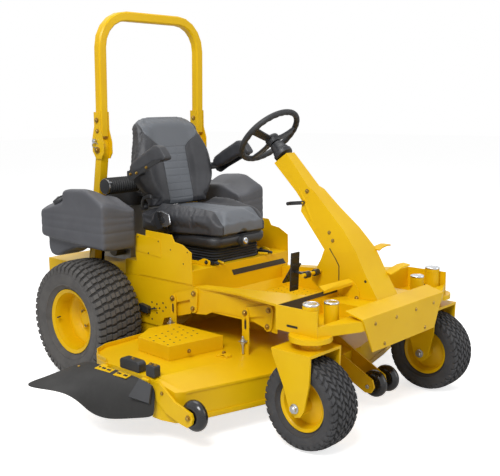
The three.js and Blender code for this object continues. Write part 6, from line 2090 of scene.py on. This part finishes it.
@dataclass(frozen=True)
class Studio:
    """Camera at the photograph's place, pale floor and soft lamps."""

    camera_at: Point = (-2966.17, -3371.13, 1392.07)
    yaw: float = 46.81
    pitch: float = 8.66
    roll: float = -0.76
    focal_px: float = 801.13
    centre_px: tuple[float, float] = (238.13, 228.68)
    frame_px: tuple[int, int] = (500, 476)

    def camera(self) -> None:
        """Set the scene's camera to the photograph's view."""
        yaw, pitch, roll = (math.radians(a) for a in (self.yaw, self.pitch, self.roll))
        look = Vector((math.sin(yaw) * math.cos(pitch), math.cos(yaw) * math.cos(pitch), -math.sin(pitch)))
        right = Vector((math.cos(yaw), -math.sin(yaw), 0.0))
        up = right.cross(look)
        turned_right = right * math.cos(roll) + up * math.sin(roll)
        turned_up = -right * math.sin(roll) + up * math.cos(roll)
        data = bpy.data.cameras.new("camera")
        width, height = self.frame_px
        data.sensor_width = 36.0
        data.lens = self.focal_px * 36.0 / width
        data.shift_x = (width / 2 - self.centre_px[0]) / width
        data.shift_y = (self.centre_px[1] - height / 2) / width
        data.clip_end = 200.0
        camera = bpy.data.objects.new("camera", data)
        bpy.context.scene.collection.objects.link(camera)
        turn = Matrix((turned_right, turned_up, -look)).transposed().to_4x4()
        camera.matrix_world = Matrix.Translation(world(self.camera_at)) @ turn
        bpy.context.scene.camera = camera

    def lamp(self, name: str, at: Point, size: float, power: float) -> None:
        """Hang one soft square lamp that looks at the machine's middle."""
        data = bpy.data.lights.new(name, "AREA")
        data.shape = "DISK"
        data.size = size
        data.energy = power
        lamp = bpy.data.objects.new(name, data)
        bpy.context.scene.collection.objects.link(lamp)
        place = Vector(at)
        lamp.matrix_world = Matrix.Translation(place) @ (Vector((0, 0, 0.7)) - place).to_track_quat("-Z", "Y").to_matrix().to_4x4()

    def build(self) -> None:
        """Make camera, floor, world and lamps."""
        self.camera()
        form = Form()
        form.block((-30000, -30000, -40), (30000, 30000, 0))
        floor = bpy.data.objects.new("studio_floor", form.mesh("studio_floor"))
        bpy.context.scene.collection.objects.link(floor)
        material = bpy.data.materials.new("studio_floor_paper")
        material.use_nodes = True
        tree = material.node_tree
        tree.nodes.clear()
        path = add_node(tree, "ShaderNodeLightPath")
        paper = add_node(tree, "ShaderNodeBsdfDiffuse", {"Color": linear("#e4e4e4")})
        glow = add_node(tree, "ShaderNodeEmission", {"Color": linear("#ffffff"), "Strength": 0.72})
        both = add_node(tree, "ShaderNodeAddShader", {}, {0: paper.outputs[0], 1: glow.outputs[0]})
        seen = add_node(tree, "ShaderNodeMixShader", {}, {"Fac": path.outputs["Is Camera Ray"], 1: paper.outputs[0], 2: both.outputs[0]})
        add_node(tree, "ShaderNodeOutputMaterial", {}, {"Surface": seen.outputs[0]})
        floor.data.materials.append(material)
        scene = bpy.context.scene
        sky = scene.world or bpy.data.worlds.new("studio")
        scene.world = sky
        sky.use_nodes = True
        tree = sky.node_tree
        tree.nodes.clear()
        path = add_node(tree, "ShaderNodeLightPath")
        soft = add_node(tree, "ShaderNodeBackground", {"Color": linear("#ffffff"), "Strength": 0.34})
        white = add_node(tree, "ShaderNodeBackground", {"Color": linear("#ffffff"), "Strength": 1.0})
        sight = add_node(tree, "ShaderNodeMath", {}, {0: path.outputs["Is Camera Ray"], 1: path.outputs["Is Glossy Ray"]},
                         operation="MAXIMUM")
        mixed = add_node(tree, "ShaderNodeMixShader", {}, {"Fac": sight.outputs[0], 1: soft.outputs[0], 2: white.outputs[0]})
        add_node(tree, "ShaderNodeOutputWorld", {}, {"Surface": mixed.outputs[0]})
        self.lamp("key lamp", (-4.0, -2.4, 5.0), 2.6, 285.0)
        self.lamp("fill lamp", (2.8, -5.5, 2.6), 3.5, 62.0)
        self.lamp("top lamp", (0.5, 1.5, 5.5), 4.0, 95.0)
        scene.view_settings.view_transform = "Standard"


def main() -> None:
    """Build every sub-assembly in order."""
    logging.basicConfig(level=logging.INFO, format="%(message)s")
    Studio().build()
    build_wheels()
    build_seat()
    build_body()
    plain = {
        "yellow_paint": YELLOW, "charcoal_tank": TANK, "black_plastic": BLACK, "black_rubber": RUBBER,
        "tyre_rubber": TYRE, "seat_cover": VINYL_DARK, "zinc_steel": ZINC, "cast_drive": CAST, "engine_alloy": ALLOY,
    }
    for part in frame["record"]["subparts"]:
        if part["node"] not in STOOD_FOR:
            refined(part["node"], plain[part["material_slot"]])


if __name__ == "__main__":
    main()
